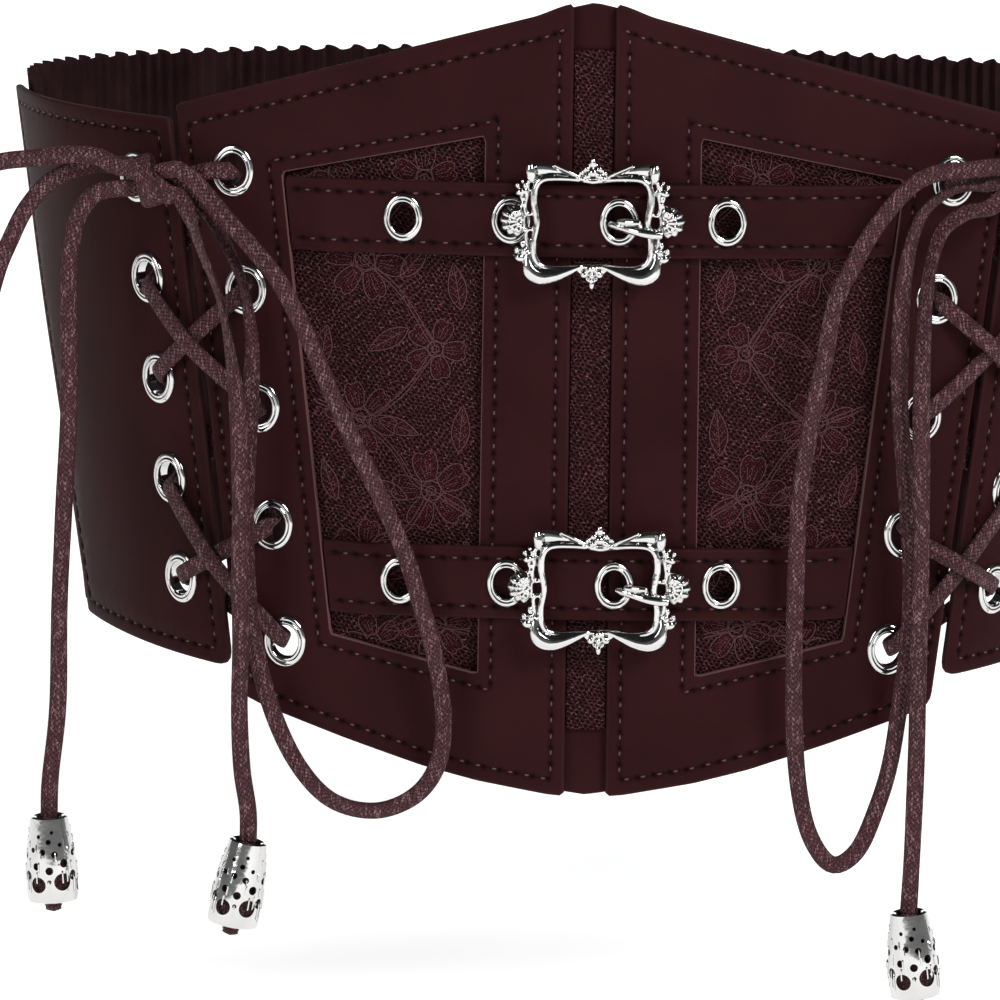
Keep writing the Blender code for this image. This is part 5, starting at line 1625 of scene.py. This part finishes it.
for side, word in SIDES:
    add_lace(side, word)


# Placket. A leather strip closes the front behind the two panels, and a strip of
# the same lace lies on it between their inner edges, short of the two points.

PLACKET_BASE_HALF_WIDTH = 0.011
PLACKET_BASE_THICKNESS = 0.0015
PLACKET_SHOULDER_TOP = 0.0025
PLACKET_SHOULDER_BOTTOM = 0.0016
PLACKET_LACE_THICKNESS = 0.0010
PLACKET_LACE_TOP = 0.088
PLACKET_LACE_BOTTOM = 0.084
PLACKET_RIB_PITCH = 0.00125
PLACKET_RIB_DEPTH = 0.00016
PLACKET_COLUMNS = 9
PLACKET_CORNER_ROUND = 0.0008
PLACKET_EDGE_STEP = 0.002
PLACKET_EDGE_ROUND = 0.0005


def slab_faces(columns, rows):
    """Faces of a cloth with a front and a back, its points running up each column."""
    faces, back = [], columns * rows
    for column in range(columns - 1):
        for row in range(rows - 1):
            a, b = column * rows + row, (column + 1) * rows + row
            faces.append((a, b, b + 1, a + 1))
            faces.append((back + a + 1, back + b + 1, back + b, back + a))
        for row in (0, rows - 1):
            a, b = column * rows + row, (column + 1) * rows + row
            faces.append((a, b, back + b, back + a))
    for column in (0, columns - 1):
        for row in range(rows - 1):
            a = column * rows + row
            faces.append((a, a + 1, back + a + 1, back + a))
    return faces


def add_placket():
    """The leather strip and the ribbed lace in front of it."""
    half = PLACKET_BASE_HALF_WIDTH
    top = FRONT_PEAK_TOP - PLACKET_SHOULDER_TOP
    bottom = PLACKET_SHOULDER_BOTTOM - FRONT_PEAK_BOTTOM
    corners = [(-half, top), (-half, bottom), (0.0, -FRONT_PEAK_BOTTOM), (half, bottom),
               (half, top), (0.0, FRONT_PEAK_TOP)]
    base = Shape()
    add_sheet(base, rounded_loop(corners, PLACKET_CORNER_ROUND, PLACKET_EDGE_STEP), [], lace_lie,
              PLACKET_BASE_THICKNESS, PLACKET_EDGE_ROUND)
    base.piece("placket_strip", "leather", LEATHER, replaces=("placket_base",),
               sharp=LEATHER_SHARP_EDGE)

    heights = np.arange(-PLACKET_LACE_BOTTOM, PLACKET_LACE_TOP, PLACKET_RIB_PITCH / 4.0)
    along, height = np.meshgrid(
        np.linspace(-1.0, 1.0, PLACKET_COLUMNS) * (PLACKET_HALF_WIDTH - GAP), heights, indexing="ij")
    crest = LACE_OUT + GAP + PLACKET_LACE_THICKNESS
    ribs = crest - PLACKET_RIB_DEPTH * (1.0 - np.cos(TAU * height / PLACKET_RIB_PITCH))
    points = [wall(along, height, out).reshape(-1, 3)
              for out in (ribs, np.full_like(height, crest - PLACKET_LACE_THICKNESS))]
    places = np.stack([along, height], axis=-1).reshape(-1, 2)
    lace = Shape()
    lace.add(np.vstack(points), slab_faces(*along.shape), np.vstack([places, places]))
    lace.piece("placket_lace_strip", "lace", LACE_NET, replaces=("placket_lace",))


add_placket()


# Elastic back. One wide band of dark shirred cloth runs round the back from side
# panel to side panel. Rows of elastic thread gather it into fine upright folds that
# open into a small frill at the top and bottom edges.

ELASTIC_TOP = 0.0720
ELASTIC_BOTTOM = 0.0668
ELASTIC_OVERLAP = 0.010
ELASTIC_FOLD = 0.0037
ELASTIC_FOLD_DEPTH = 0.0011
ELASTIC_THICKNESS = 0.0008
ELASTIC_ROWS = 9
ELASTIC_STEPS_UP = 44
ELASTIC_STEPS_FOLD = 8
ELASTIC_FRILL = 0.006
ELASTIC_SEED = 11
ELASTIC_BEHIND = 0.0019
ELASTIC_WEAVE_FULLNESS = 1.8
ELASTIC_PITCH = 0.0008
ELASTIC_RELIEF = 0.00008
ELASTIC_DARK = (0.013, 0.0050, 0.0058)
ELASTIC_PALE = (0.040, 0.017, 0.019)

# Folds: how far one strays, how deep it may be, and how the threads pinch it
FOLD_DRIFT = 0.35
FOLD_UNEVEN = (0.7, 1.25)
FOLD_WANDER = 0.5
FOLD_PINCHED = 0.62
FOLD_FREE = 0.38
FRILL_FLARE = 0.35
FRILL_WAVE = 0.0007


def elastic_material():
    material, shader = new_material("shirred_cloth", ELASTIC_DARK, 0.80, specular=0.05)
    nodes, links = material.node_tree.nodes, material.node_tree.links
    net = use_group(material, NET_GROUP, Pitch=ELASTIC_PITCH)
    links.new(place_map(material), net.inputs["Place"])
    links.new(colour_mix(nodes, links, net.outputs["Tone"], ELASTIC_DARK, ELASTIC_PALE),
              shader.inputs["Base Color"])
    link_height(material, shader, net.outputs["Thread"], ELASTIC_RELIEF)
    return material


def elastic_seam(height):
    """Where the elastic ends, under the side panel's slanting back end."""
    share = (height + SIDE_BACK_BOTTOM) / (SIDE_BACK_TOP + SIDE_BACK_BOTTOM)
    panel_end = mix(SIDE_LENGTH_BOTTOM, SIDE_LENGTH_TOP, share)
    return lacing_edge(height) + LACING_GAP + panel_end - ELASTIC_OVERLAP


def add_elastic():
    """The gathered band, from seam to seam round the back."""
    random.seed(ELASTIC_SEED)
    length = 2.0 * (half_girth(0.0) - elastic_seam(0.0))
    folds = round(length / ELASTIC_FOLD)
    columns = folds * ELASTIC_STEPS_FOLD
    shares = np.linspace(-1.0, 1.0, columns + 1)[:, None]
    up = np.linspace(0.0, 1.0, ELASTIC_STEPS_UP)[None, :]
    heights = np.repeat(mix(-ELASTIC_BOTTOM, ELASTIC_TOP, up), columns + 1, axis=0)
    fold_at, fold_ends = np.linspace(0, folds, columns + 1), np.arange(folds + 1)
    drift = np.cumsum([random.uniform(-FOLD_DRIFT, FOLD_DRIFT) for _ in fold_ends])
    uneven = np.array([random.uniform(*FOLD_UNEVEN) for _ in fold_ends])
    drift = np.interp(fold_at, fold_ends, drift)[:, None]
    uneven = np.interp(fold_at, fold_ends, uneven)[:, None]
    phase = TAU * folds * (shares + 1.0) / 2.0 + drift
    phase = phase + FOLD_WANDER * np.sin(heights * 55.0 + shares * 40.0)
    pinch = FOLD_PINCHED + FOLD_FREE * np.abs(np.sin(math.pi * ELASTIC_ROWS * up))
    edge = np.clip(np.minimum(up, 1.0 - up) * (ELASTIC_TOP + ELASTIC_BOTTOM) / ELASTIC_FRILL,
                   0.0, 1.0)
    depth = ELASTIC_FOLD_DEPTH * uneven * (pinch + FRILL_FLARE * (1.0 - edge))
    wave = np.sin(phase) + 0.22 * np.sin(2.0 * phase + 0.7)
    out = -PANEL_THICKNESS - ELASTIC_BEHIND - ELASTIC_THICKNESS / 2.0 + depth * wave
    frill = FRILL_WAVE * (1.0 - edge) * np.sin(phase * 0.5 + 0.6)
    heights = heights + frill * np.where(up > 0.5, 1, -1)
    half = half_girth(heights)
    along = np.sign(shares) * mix(half, elastic_seam(heights), np.abs(shares))
    along = np.where(shares == 0.0, half, along)
    face = wall(along, heights, out)
    back = wall(along, heights, out - ELASTIC_THICKNESS)
    cloth_along = (shares + 1.0) * length / 2.0 * ELASTIC_WEAVE_FULLNESS
    places = np.stack([np.broadcast_to(cloth_along, heights.shape), heights],
                      axis=-1).reshape(-1, 2)
    band = Shape()
    band.add(np.vstack([face.reshape(-1, 3), back.reshape(-1, 3)]), slab_faces(*heights.shape),
             np.vstack([places, places]))
    piece = band.piece("elastic_band", "elastic", elastic_material(), replaces=("elastic_back",),
                       weld=False)


add_elastic()


# Buckles. Each is one casting of bright metal in a scrolled, shell-and-flower style:
# a rounded inner rim, smooth horns at the lower corners, drops at the upper ones, a
# crown of beads on top, a pendant below and a fanned shell at each side.

EYELET_CREST = 0.0008
BUCKLE_SEAT = STRAP_FACE + 2.0 * GAP + EYELET_CREST
CAST_GRAIN = 0.00023
PRONG_GRAIN = 0.00016
ROD_SIDES = 12
ROD_CURVE_STEPS = 6

# All tables are in millimetres from the buckle's centre: across, up, out.
# Rods of the right half: points (across, up, out, half width, half depth)
BUCKLE_RODS = (
    ((0.0, 10.4, 2.0, 0.89, 1.01), (4.0, 10.9, 2.0, 0.83, 1.01), (9.5, 11.1, 2.1, 0.89, 1.12),
     (12.6, 10.6, 2.2, 0.94, 1.12), (14.2, 8.6, 2.2, 0.94, 1.12), (14.5, 5.0, 2.2, 1.00, 1.12),
     (14.0, 2.2, 2.2, 0.94, 1.12), (13.7, 0.0, 2.2, 0.89, 1.12), (14.0, -2.2, 2.2, 0.89, 1.12),
     (14.5, -5.0, 2.2, 0.89, 1.12), (14.2, -8.6, 2.2, 0.89, 1.12), (12.6, -10.8, 2.1, 0.89, 1.12),
     (9.0, -11.5, 2.0, 0.83, 1.01), (4.0, -11.0, 2.0, 0.77, 1.01), (0.0, -10.9, 2.0, 0.83, 1.01)),
    ((2.8, 11.7, 1.4, 0.83, 1.01), (6.0, 12.2, 1.4, 1.06, 1.01), (9.5, 12.9, 1.4, 1.42, 1.01),
     (12.8, 13.2, 1.4, 1.89, 1.01), (14.8, 12.8, 1.4, 1.89, 0.90)),
    ((3.4, 11.5, 2.5, 0.35, 0.50), (6.4, 12.9, 2.6, 0.50, 0.56), (9.8, 14.4, 2.3, 0.35, 0.45)),
    ((2.6, -10.8, 2.4, 0.53, 0.78), (6.0, -12.1, 2.3, 1.36, 1.34), (9.5, -13.3, 2.3, 1.83, 1.68),
     (12.6, -13.6, 2.3, 2.18, 1.90), (15.0, -12.3, 2.3, 2.18, 1.79), (15.9, -9.8, 2.2, 1.42, 1.46),
     (15.8, -7.4, 2.1, 0.71, 1.01)),
    ((15.8, -7.6, 1.9, 0.53, 0.90), (16.2, -5.0, 1.9, 0.59, 0.90), (16.4, -2.6, 1.9, 0.59, 0.90),
     (15.5, -1.7, 1.9, 0.65, 0.90), (14.2, -2.0, 1.9, 0.65, 0.90)),
    ((15.9, 10.8, 1.9, 0.53, 0.90), (16.4, 7.0, 1.9, 0.65, 0.90), (16.8, 3.6, 1.9, 0.65, 0.90),
     (16.0, 2.0, 1.9, 0.65, 0.90), (14.4, 2.4, 1.9, 0.65, 0.90)),
    ((16.9, 3.2, 1.6, 0.71, 1.01), (17.2, 0.4, 1.6, 0.83, 1.12), (16.9, -2.2, 1.6, 0.71, 1.01)),
)

# Drops and beads of the right half: across, up, out, half across, half up, half out, turn
BUCKLE_BEADS = (
    (15.4, 12.5, 2.5, 1.40, 2.75, 1.40, 6.0), (0.0, 15.0, 2.4, 0.87, 1.43, 0.84, 0.0),
    (0.0, 12.6, 3.0, 1.30, 1.12, 1.01, 0.0), (1.6, 13.5, 2.6, 0.93, 0.74, 0.73, 30.0),
    (1.5, 11.7, 2.9, 0.87, 0.74, 0.67, 0.0), (2.9, 12.5, 2.5, 0.68, 0.62, 0.62, 0.0),
    (2.7, 11.0, 2.8, 0.74, 0.56, 0.62, 20.0), (3.9, 11.5, 2.5, 0.62, 0.50, 0.56, 0.0),
    (0.9, 14.5, 2.2, 0.52, 0.52, 0.50, 0.0), (2.2, 13.9, 2.2, 0.47, 0.47, 0.45, 0.0),
    (0.0, -11.4, 2.8, 0.87, 0.87, 0.78, 0.0), (1.9, -12.9, 2.6, 1.05, 0.93, 0.90, 20.0),
    (1.1, -11.9, 2.9, 0.56, 1.12, 0.62, -32.0), (0.0, -13.2, 2.7, 0.74, 0.93, 0.78, 0.0),
    (0.0, -15.3, 2.2, 0.78, 1.46, 0.84, 0.0), (1.0, -14.2, 2.3, 0.52, 0.52, 0.50, 0.0),
    (2.9, -11.9, 2.5, 0.56, 0.74, 0.56, -30.0),
    (16.7, 9.3, 2.4, 0.77, 0.77, 0.78, 0.0), (18.7, 9.2, 2.2, 0.68, 0.68, 0.67, 0.0),
    (17.9, 7.6, 2.5, 1.30, 0.99, 1.01, 20.0), (16.8, 7.9, 2.6, 0.68, 0.87, 0.67, 0.0),
    (17.5, 10.2, 2.1, 0.52, 0.52, 0.56, 0.0), (17.4, 6.1, 2.3, 0.68, 0.99, 0.73, 10.0),
    (17.9, -8.8, 2.5, 1.43, 1.18, 1.12, -15.0), (18.7, -6.9, 2.3, 0.74, 0.81, 0.73, 0.0),
    (16.9, -7.2, 2.5, 0.81, 1.12, 0.84, 0.0), (19.1, -8.2, 2.2, 0.56, 0.56, 0.56, 0.0),
    (17.3, -5.4, 2.3, 0.62, 0.93, 0.67, 0.0), (17.2, 4.6, 2.3, 0.68, 0.87, 0.73, 0.0),
)

# Shell at the right side: lobes fanned from a hub, as turn in degrees and length
BUCKLE_SHELL_HUB = (17.4, 0.3, 2.2)
BUCKLE_SHELL = ((72.0, 4.2), (48.0, 4.9), (25.0, 5.2), (3.0, 5.3), (-20.0, 5.1), (-43.0, 4.6),
                (-68.0, 4.0))

# A lobe's stops: share of its length, out from the hub, half width, half depth
SHELL_LOBE = ((0.0, 0.0, 0.40, 0.7), (0.5, 0.6, 0.80, 0.9), (0.86, -0.2, 1.00, 0.9),
              (1.0, -0.7, 0.66, 0.6))

# Beads on a lobe: share of its length, out from the hub, half across, half up, half out
SHELL_BEADS = ((0.62, 1.1, 0.55, 0.55, 0.55), (0.28, 1.0, 0.48, 0.48, 0.50))


def ball(shape, centre, axes, halves, around=12, along=8):
    """An egg with given half sizes along three axes."""
    points, faces = [centre + axes[1] * halves[1]], []
    for ring in range(1, along):
        drop = math.pi * ring / along
        for step in range(around):
            turn = TAU * step / around
            points.append(centre + axes[1] * halves[1] * math.cos(drop)
                          + axes[0] * halves[0] * math.sin(drop) * math.cos(turn)
                          + axes[2] * halves[2] * math.sin(drop) * math.sin(turn))
    points.append(centre - axes[1] * halves[1])
    for step in range(around):
        after = (step + 1) % around
        faces.append((0, 1 + step, 1 + after))
        for ring in range(along - 2):
            a, b = 1 + ring * around, 1 + (ring + 1) * around
            faces.append((a + step, b + step, b + after, a + after))
        last = 1 + (along - 2) * around
        faces.append((last + step, len(points) - 1, last + after))
    shape.add(points, faces)


class Casting:
    """Rods and beads placed on the wall round one point, then fused into one body."""

    def __init__(self, along, height, seat_out):
        self.sideways, self.upward, self.outward = wall_axes(along, height)
        self.centre = wall(along, height, seat_out)
        self.shape = Shape()

    def spot(self, across, up, out):
        return self.centre + (self.sideways * across + self.upward * up
                              + self.outward * out) * MILLIMETRE

    def rod(self, stops, way=1.0):
        stops = smooth_line(np.array(stops) * np.array([way, 1.0, 1.0, 1.0, 1.0]),
                            ROD_CURVE_STEPS)
        line = np.array([self.spot(*stop[:3]) for stop in stops])
        across = np.cross(np.gradient(line, axis=0), self.outward)
        sweep(self.shape, line, across, stops[:, 3] * MILLIMETRE, stops[:, 4] * MILLIMETRE,
              ROD_SIDES)

    def bead(self, across, up, out, half_across, half_up, half_out, turn=0.0):
        angle = math.radians(turn)
        sideways = self.sideways * math.cos(angle) + self.upward * math.sin(angle)
        upward = self.upward * math.cos(angle) - self.sideways * math.sin(angle)
        ball(self.shape, self.spot(across, up, out), (sideways, upward, self.outward),
             (half_across * MILLIMETRE, half_up * MILLIMETRE, half_out * MILLIMETRE))

    def fuse(self, name, node, grain):
        """Turns the gathered rods and beads into one smooth skin."""
        rough = self.shape.piece("rough", "metal", METAL, weld=False)
        skin = rough.modifiers.new("skin", "REMESH")
        skin.mode = "VOXEL"
        skin.voxel_size = grain
        soften = rough.modifiers.new("soften", "SMOOTH")
        soften.factor = 0.5
        soften.iterations = 2
        mesh = modified_mesh(rough)
        bpy.data.objects.remove(rough)
        mesh.shade_smooth()
        mesh.materials.clear()
        mesh.materials.append(METAL)
        return seat(bpy.data.objects.new(name, mesh), (node,))


def add_buckle(word, along, height):
    """A whole buckle, both halves cast together."""
    cast = Casting(along, height, BUCKLE_SEAT)
    hub_across, hub_up, hub_out = BUCKLE_SHELL_HUB
    for way in (1.0, -1.0):
        for stops in BUCKLE_RODS:
            cast.rod(stops, way)
        for across, up, out, half_across, half_up, half_out, turn in BUCKLE_BEADS:
            cast.bead(way * across, up, out, half_across, half_up, half_out, way * -turn)
        for turn, length in BUCKLE_SHELL:
            across, up = math.cos(math.radians(turn)), math.sin(math.radians(turn))
            cast.rod([(hub_across + share * across * length, hub_up + share * up * length,
                       hub_out + out, half_width, half_depth)
                      for share, out, half_width, half_depth in SHELL_LOBE], way)
            for share, out, half_across, half_up, half_out in SHELL_BEADS:
                cast.bead(way * (hub_across + share * across * length),
                          hub_up + share * up * length, hub_out + out,
                          half_across, half_up, half_out)
    cast.fuse(f"{word}_buckle_casting", f"{word}_buckle", CAST_GRAIN)


# Prongs. A short double tongue hooked round the buckle's right bar, its tip resting
# in the third eyelet.

# Rods of a prong: points (across, up, out, half width, half depth)
PRONG_RODS = (
    ((17.4, -2.6, 4.2, 0.98, 0.80), (14.5, -2.4, 4.3, 1.16, 0.98), (11.0, -1.9, 3.6, 1.10, 0.98),
     (7.6, -1.2, 1.9, 0.98, 0.86), (5.2, -0.6, 0.4, 1.00, 0.90), (4.2, -0.4, -0.6, 0.90, 0.80)),
    ((12.0, 0.3, 3.4, 0.67, 0.69), (10.6, 0.3, 3.2, 0.92, 0.86), (8.6, 0.3, 2.5, 0.98, 0.86),
     (6.8, 0.3, 1.5, 0.85, 0.75), (6.2, 0.2, 1.2, 0.43, 0.46)),
    ((11.6, 0.1, 3.2, 0.55, 0.57), (11.9, -0.9, 3.4, 0.61, 0.63), (11.8, -1.8, 3.5, 0.61, 0.63)),
)


def add_prong(word, along, height):
    """A prong, cast apart from its buckle."""
    cast = Casting(along, height, BUCKLE_SEAT)
    for stops in PRONG_RODS:
        cast.rod(stops)
    cast.fuse(f"{word}_prong_tongue", f"{word}_prong", PRONG_GRAIN)


for word, height, buckle_along, buckle_drop in STRAPS:
    add_buckle(word, buckle_along, height + buckle_drop)
    add_prong(word, buckle_along, height + buckle_drop)


# Lacing. On each side one flat braid zigzags between front and side panel through
# the eyelets, under the leather from front to side and over it back again, and
# both ends come up to the bow's knot.

LACING_TURN = 0.0015
LACING_STEEPNESS = 0.70
LACING_LIFT = 0.0024
LACING_REST_OVER = 0.00195
LACING_REST_UNDER = 0.00210
LACING_THICKNESS = 0.0014
LACING_CURVE_STEPS = 7
KNOT_HALF_SIZE = (0.0050, 0.0070, 0.0065)
KNOT_LACING_DEPTH = 0.0053

# Front eyelet row gone into, side eyelet row come out of, whether on its way down
LACING_ORDER = ((0, 1, True), (2, 3, True), (4, 4, False), (3, 2, False), (1, 0, False))


def lacing_strand(side, start, end, surface, middle):
    """Stops of a strand from one eyelet to just before the other, with the lie of
    the braid's width at each."""
    start, end = np.array(start), np.array(end)
    run = (end - start) / np.linalg.norm(end - start)
    bore = -PANEL_THICKNESS / 2.0
    clear = LACING_EYELET_HEIGHT * EYELET_WIDTH_SHARE / 2.0
    steep = mix(bore, surface, LACING_STEEPNESS)
    stops = ((start, bore), (start + run * LACING_TURN, steep), (start + run * clear, surface),
             ((start + end) / 2.0, middle),
             (end - run * clear, surface), (end - run * LACING_TURN, steep))
    stations = []
    for place, out in stops:
        sideways, upward, outward = wall_axes(side * place[0], place[1])
        lie = upward * run[0] * side - sideways * run[1]
        stations.append((wall(side * place[0], place[1], out), lie if lie[2] >= 0.0 else -lie))
    return stations


def lacing_stations(side):
    """The whole way of one side's braid, from the knot and back to it."""
    over = EYELET_CREST + LACING_REST_OVER
    under = -PANEL_THICKNESS - LACING_REST_UNDER
    clear = LACING_EYELET_HEIGHT * EYELET_WIDTH_SHARE / 2.0
    bore = -PANEL_THICKNESS / 2.0
    upright = np.array([0.0, 0.0, 1.0])
    knot = knot_centre(side)
    along, height = front_eyelet(0)
    stations = [
        (knot + np.array([-side * 0.5 * KNOT_HALF_SIZE[0], KNOT_LACING_DEPTH - 0.002, 0.0]), upright),
        (knot + np.array([-side * KNOT_HALF_SIZE[0], KNOT_LACING_DEPTH - 0.001, 0.0]), upright),
        (wall(side * (along + clear), height, over), upright),
        (wall(side * (along + LACING_TURN), height, mix(bore, over, LACING_STEEPNESS)), upright)]
    for index, (front_row, side_row, going_down) in enumerate(LACING_ORDER):
        deep = under - LACING_LIFT if going_down else under
        stations += lacing_strand(side, front_eyelet(front_row), side_eyelet(side_row), under, deep)
        if index + 1 == len(LACING_ORDER):
            break
        lifted = over + LACING_LIFT if going_down == (side < 0) else over
        stations += lacing_strand(side, side_eyelet(side_row),
                                  front_eyelet(LACING_ORDER[index + 1][0]), over, lifted)
    along, height = side_eyelet(0)
    stations.append((wall(side * along, height, bore), upright))
    stations.append((wall(side * along, height, over), upright))
    stations.append((knot + np.array([side * LACING_TURN / 2.0, KNOT_HALF_SIZE[1] - 0.002, 0.0]),
                     upright))
    return stations


def add_lacing(side, word):
    """One side's braid."""
    fine = smooth_line(np.array([np.concatenate(station) for station in lacing_stations(side)]),
                       LACING_CURVE_STEPS)
    braid = Shape()
    sweep(braid, fine[:, :3], unit(fine[:, 3:]), CORD_WIDTH / 2.0, LACING_THICKNESS / 2.0,
          CORD_SIDES, squareness=CORD_PULLED_SQUARENESS)
    braid.piece(f"{word}_lacing_braid", "cord", CORD, replaces=(f"{word}_lacing",), weld=False)


# Knots. The bow is tied with the lacing's own ends: a slanting turn of the flat
# braid is drawn tight round the loops and tails where they cross.

KNOT_TURN_POINTS = 40
KNOT_TURN_SIDES = 14
KNOT_TURN_HALF_THICKNESS = 0.0011
KNOT_TURN_SQUARENESS = 0.78
KNOT_CORE = (0.0040, 0.0038, 0.0040)
KNOT_LEAD_REACH = 0.006

# A lead from a cord into the knot: way along the cord, share of the way to the centre
KNOT_LEAD = ((0.0004, 0.0), (-0.001, 0.0), (-0.0025, 0.15), (-0.004, 0.35))

# Turns of a knot: shift across, tilt in degrees, half height, half depth, half width
KNOT_TURNS = (
    (-0.0006, -20.0, 0.0056, 0.0050, 0.0029),
    (0.0022, -48.0, 0.0047, 0.0043, 0.0019),
)


def add_knot(side, word, routes):
    """A knot: its two turns, its core, and a lead into each cord's end that meets it."""
    centre = knot_centre(side)
    knot = Shape()
    turn = TAU * np.arange(KNOT_TURN_POINTS) / KNOT_TURN_POINTS
    for shift, tilt, half_height, half_depth, half_width in KNOT_TURNS:
        angle = math.radians(tilt) * -side
        rising = np.array([math.sin(angle), 0.0, math.cos(angle)])
        level = np.array([math.cos(angle), 0.0, -math.sin(angle)])
        ring = (centre + np.array([-side * shift, 0.0, 0.0])
                + np.outer(np.cos(turn) * half_height * (1.0 + 0.05 * np.sin(3.0 * turn)), rising)
                + np.outer(np.sin(turn) * half_depth, np.array([0.0, 1.0, 0.0])))
        width = half_width * (1.0 + 0.12 * np.sin(2.0 * turn + 0.8))
        sweep(knot, ring, level, width, KNOT_TURN_HALF_THICKNESS, KNOT_TURN_SIDES,
              squareness=KNOT_TURN_SQUARENESS, closed=True)
    ball(knot, centre, np.eye(3), KNOT_CORE, 20, 12)
    for route in routes:
        for lead in (route[:2], route[-2:][::-1]):
            if abs(lead[0][0]) > KNOT_LEAD_REACH:
                continue
            start = np.array(from_knot(side, [lead[0]])[0])
            away = np.array(from_knot(side, [lead[1]])[0])
            heading = unit(away - start)
            inward = (centre - start) * np.array([0.0, 1.0, 1.0])
            line = np.array([start + heading * reach + inward * share
                             for reach, share in KNOT_LEAD])
            sweep(knot, line, np.array([0.0, 0.0, 1.0]), CORD_WIDTH / 2.0 * 0.96,
                  CORD_THICKNESS / 2.0 * 0.92, CORD_SIDES, squareness=CORD_PULLED_SQUARENESS)
    knot.piece(f"{word}_knot_wrap", "cord", CORD, replaces=(f"{word}_bow_knot",), weld=False)


for side, word in SIDES:
    add_lacing(side, word)
    add_knot(side, word, (OUTER_LOOP, OUTER_TAIL, INNER_LOOPS[side], INNER_TAILS[side]))
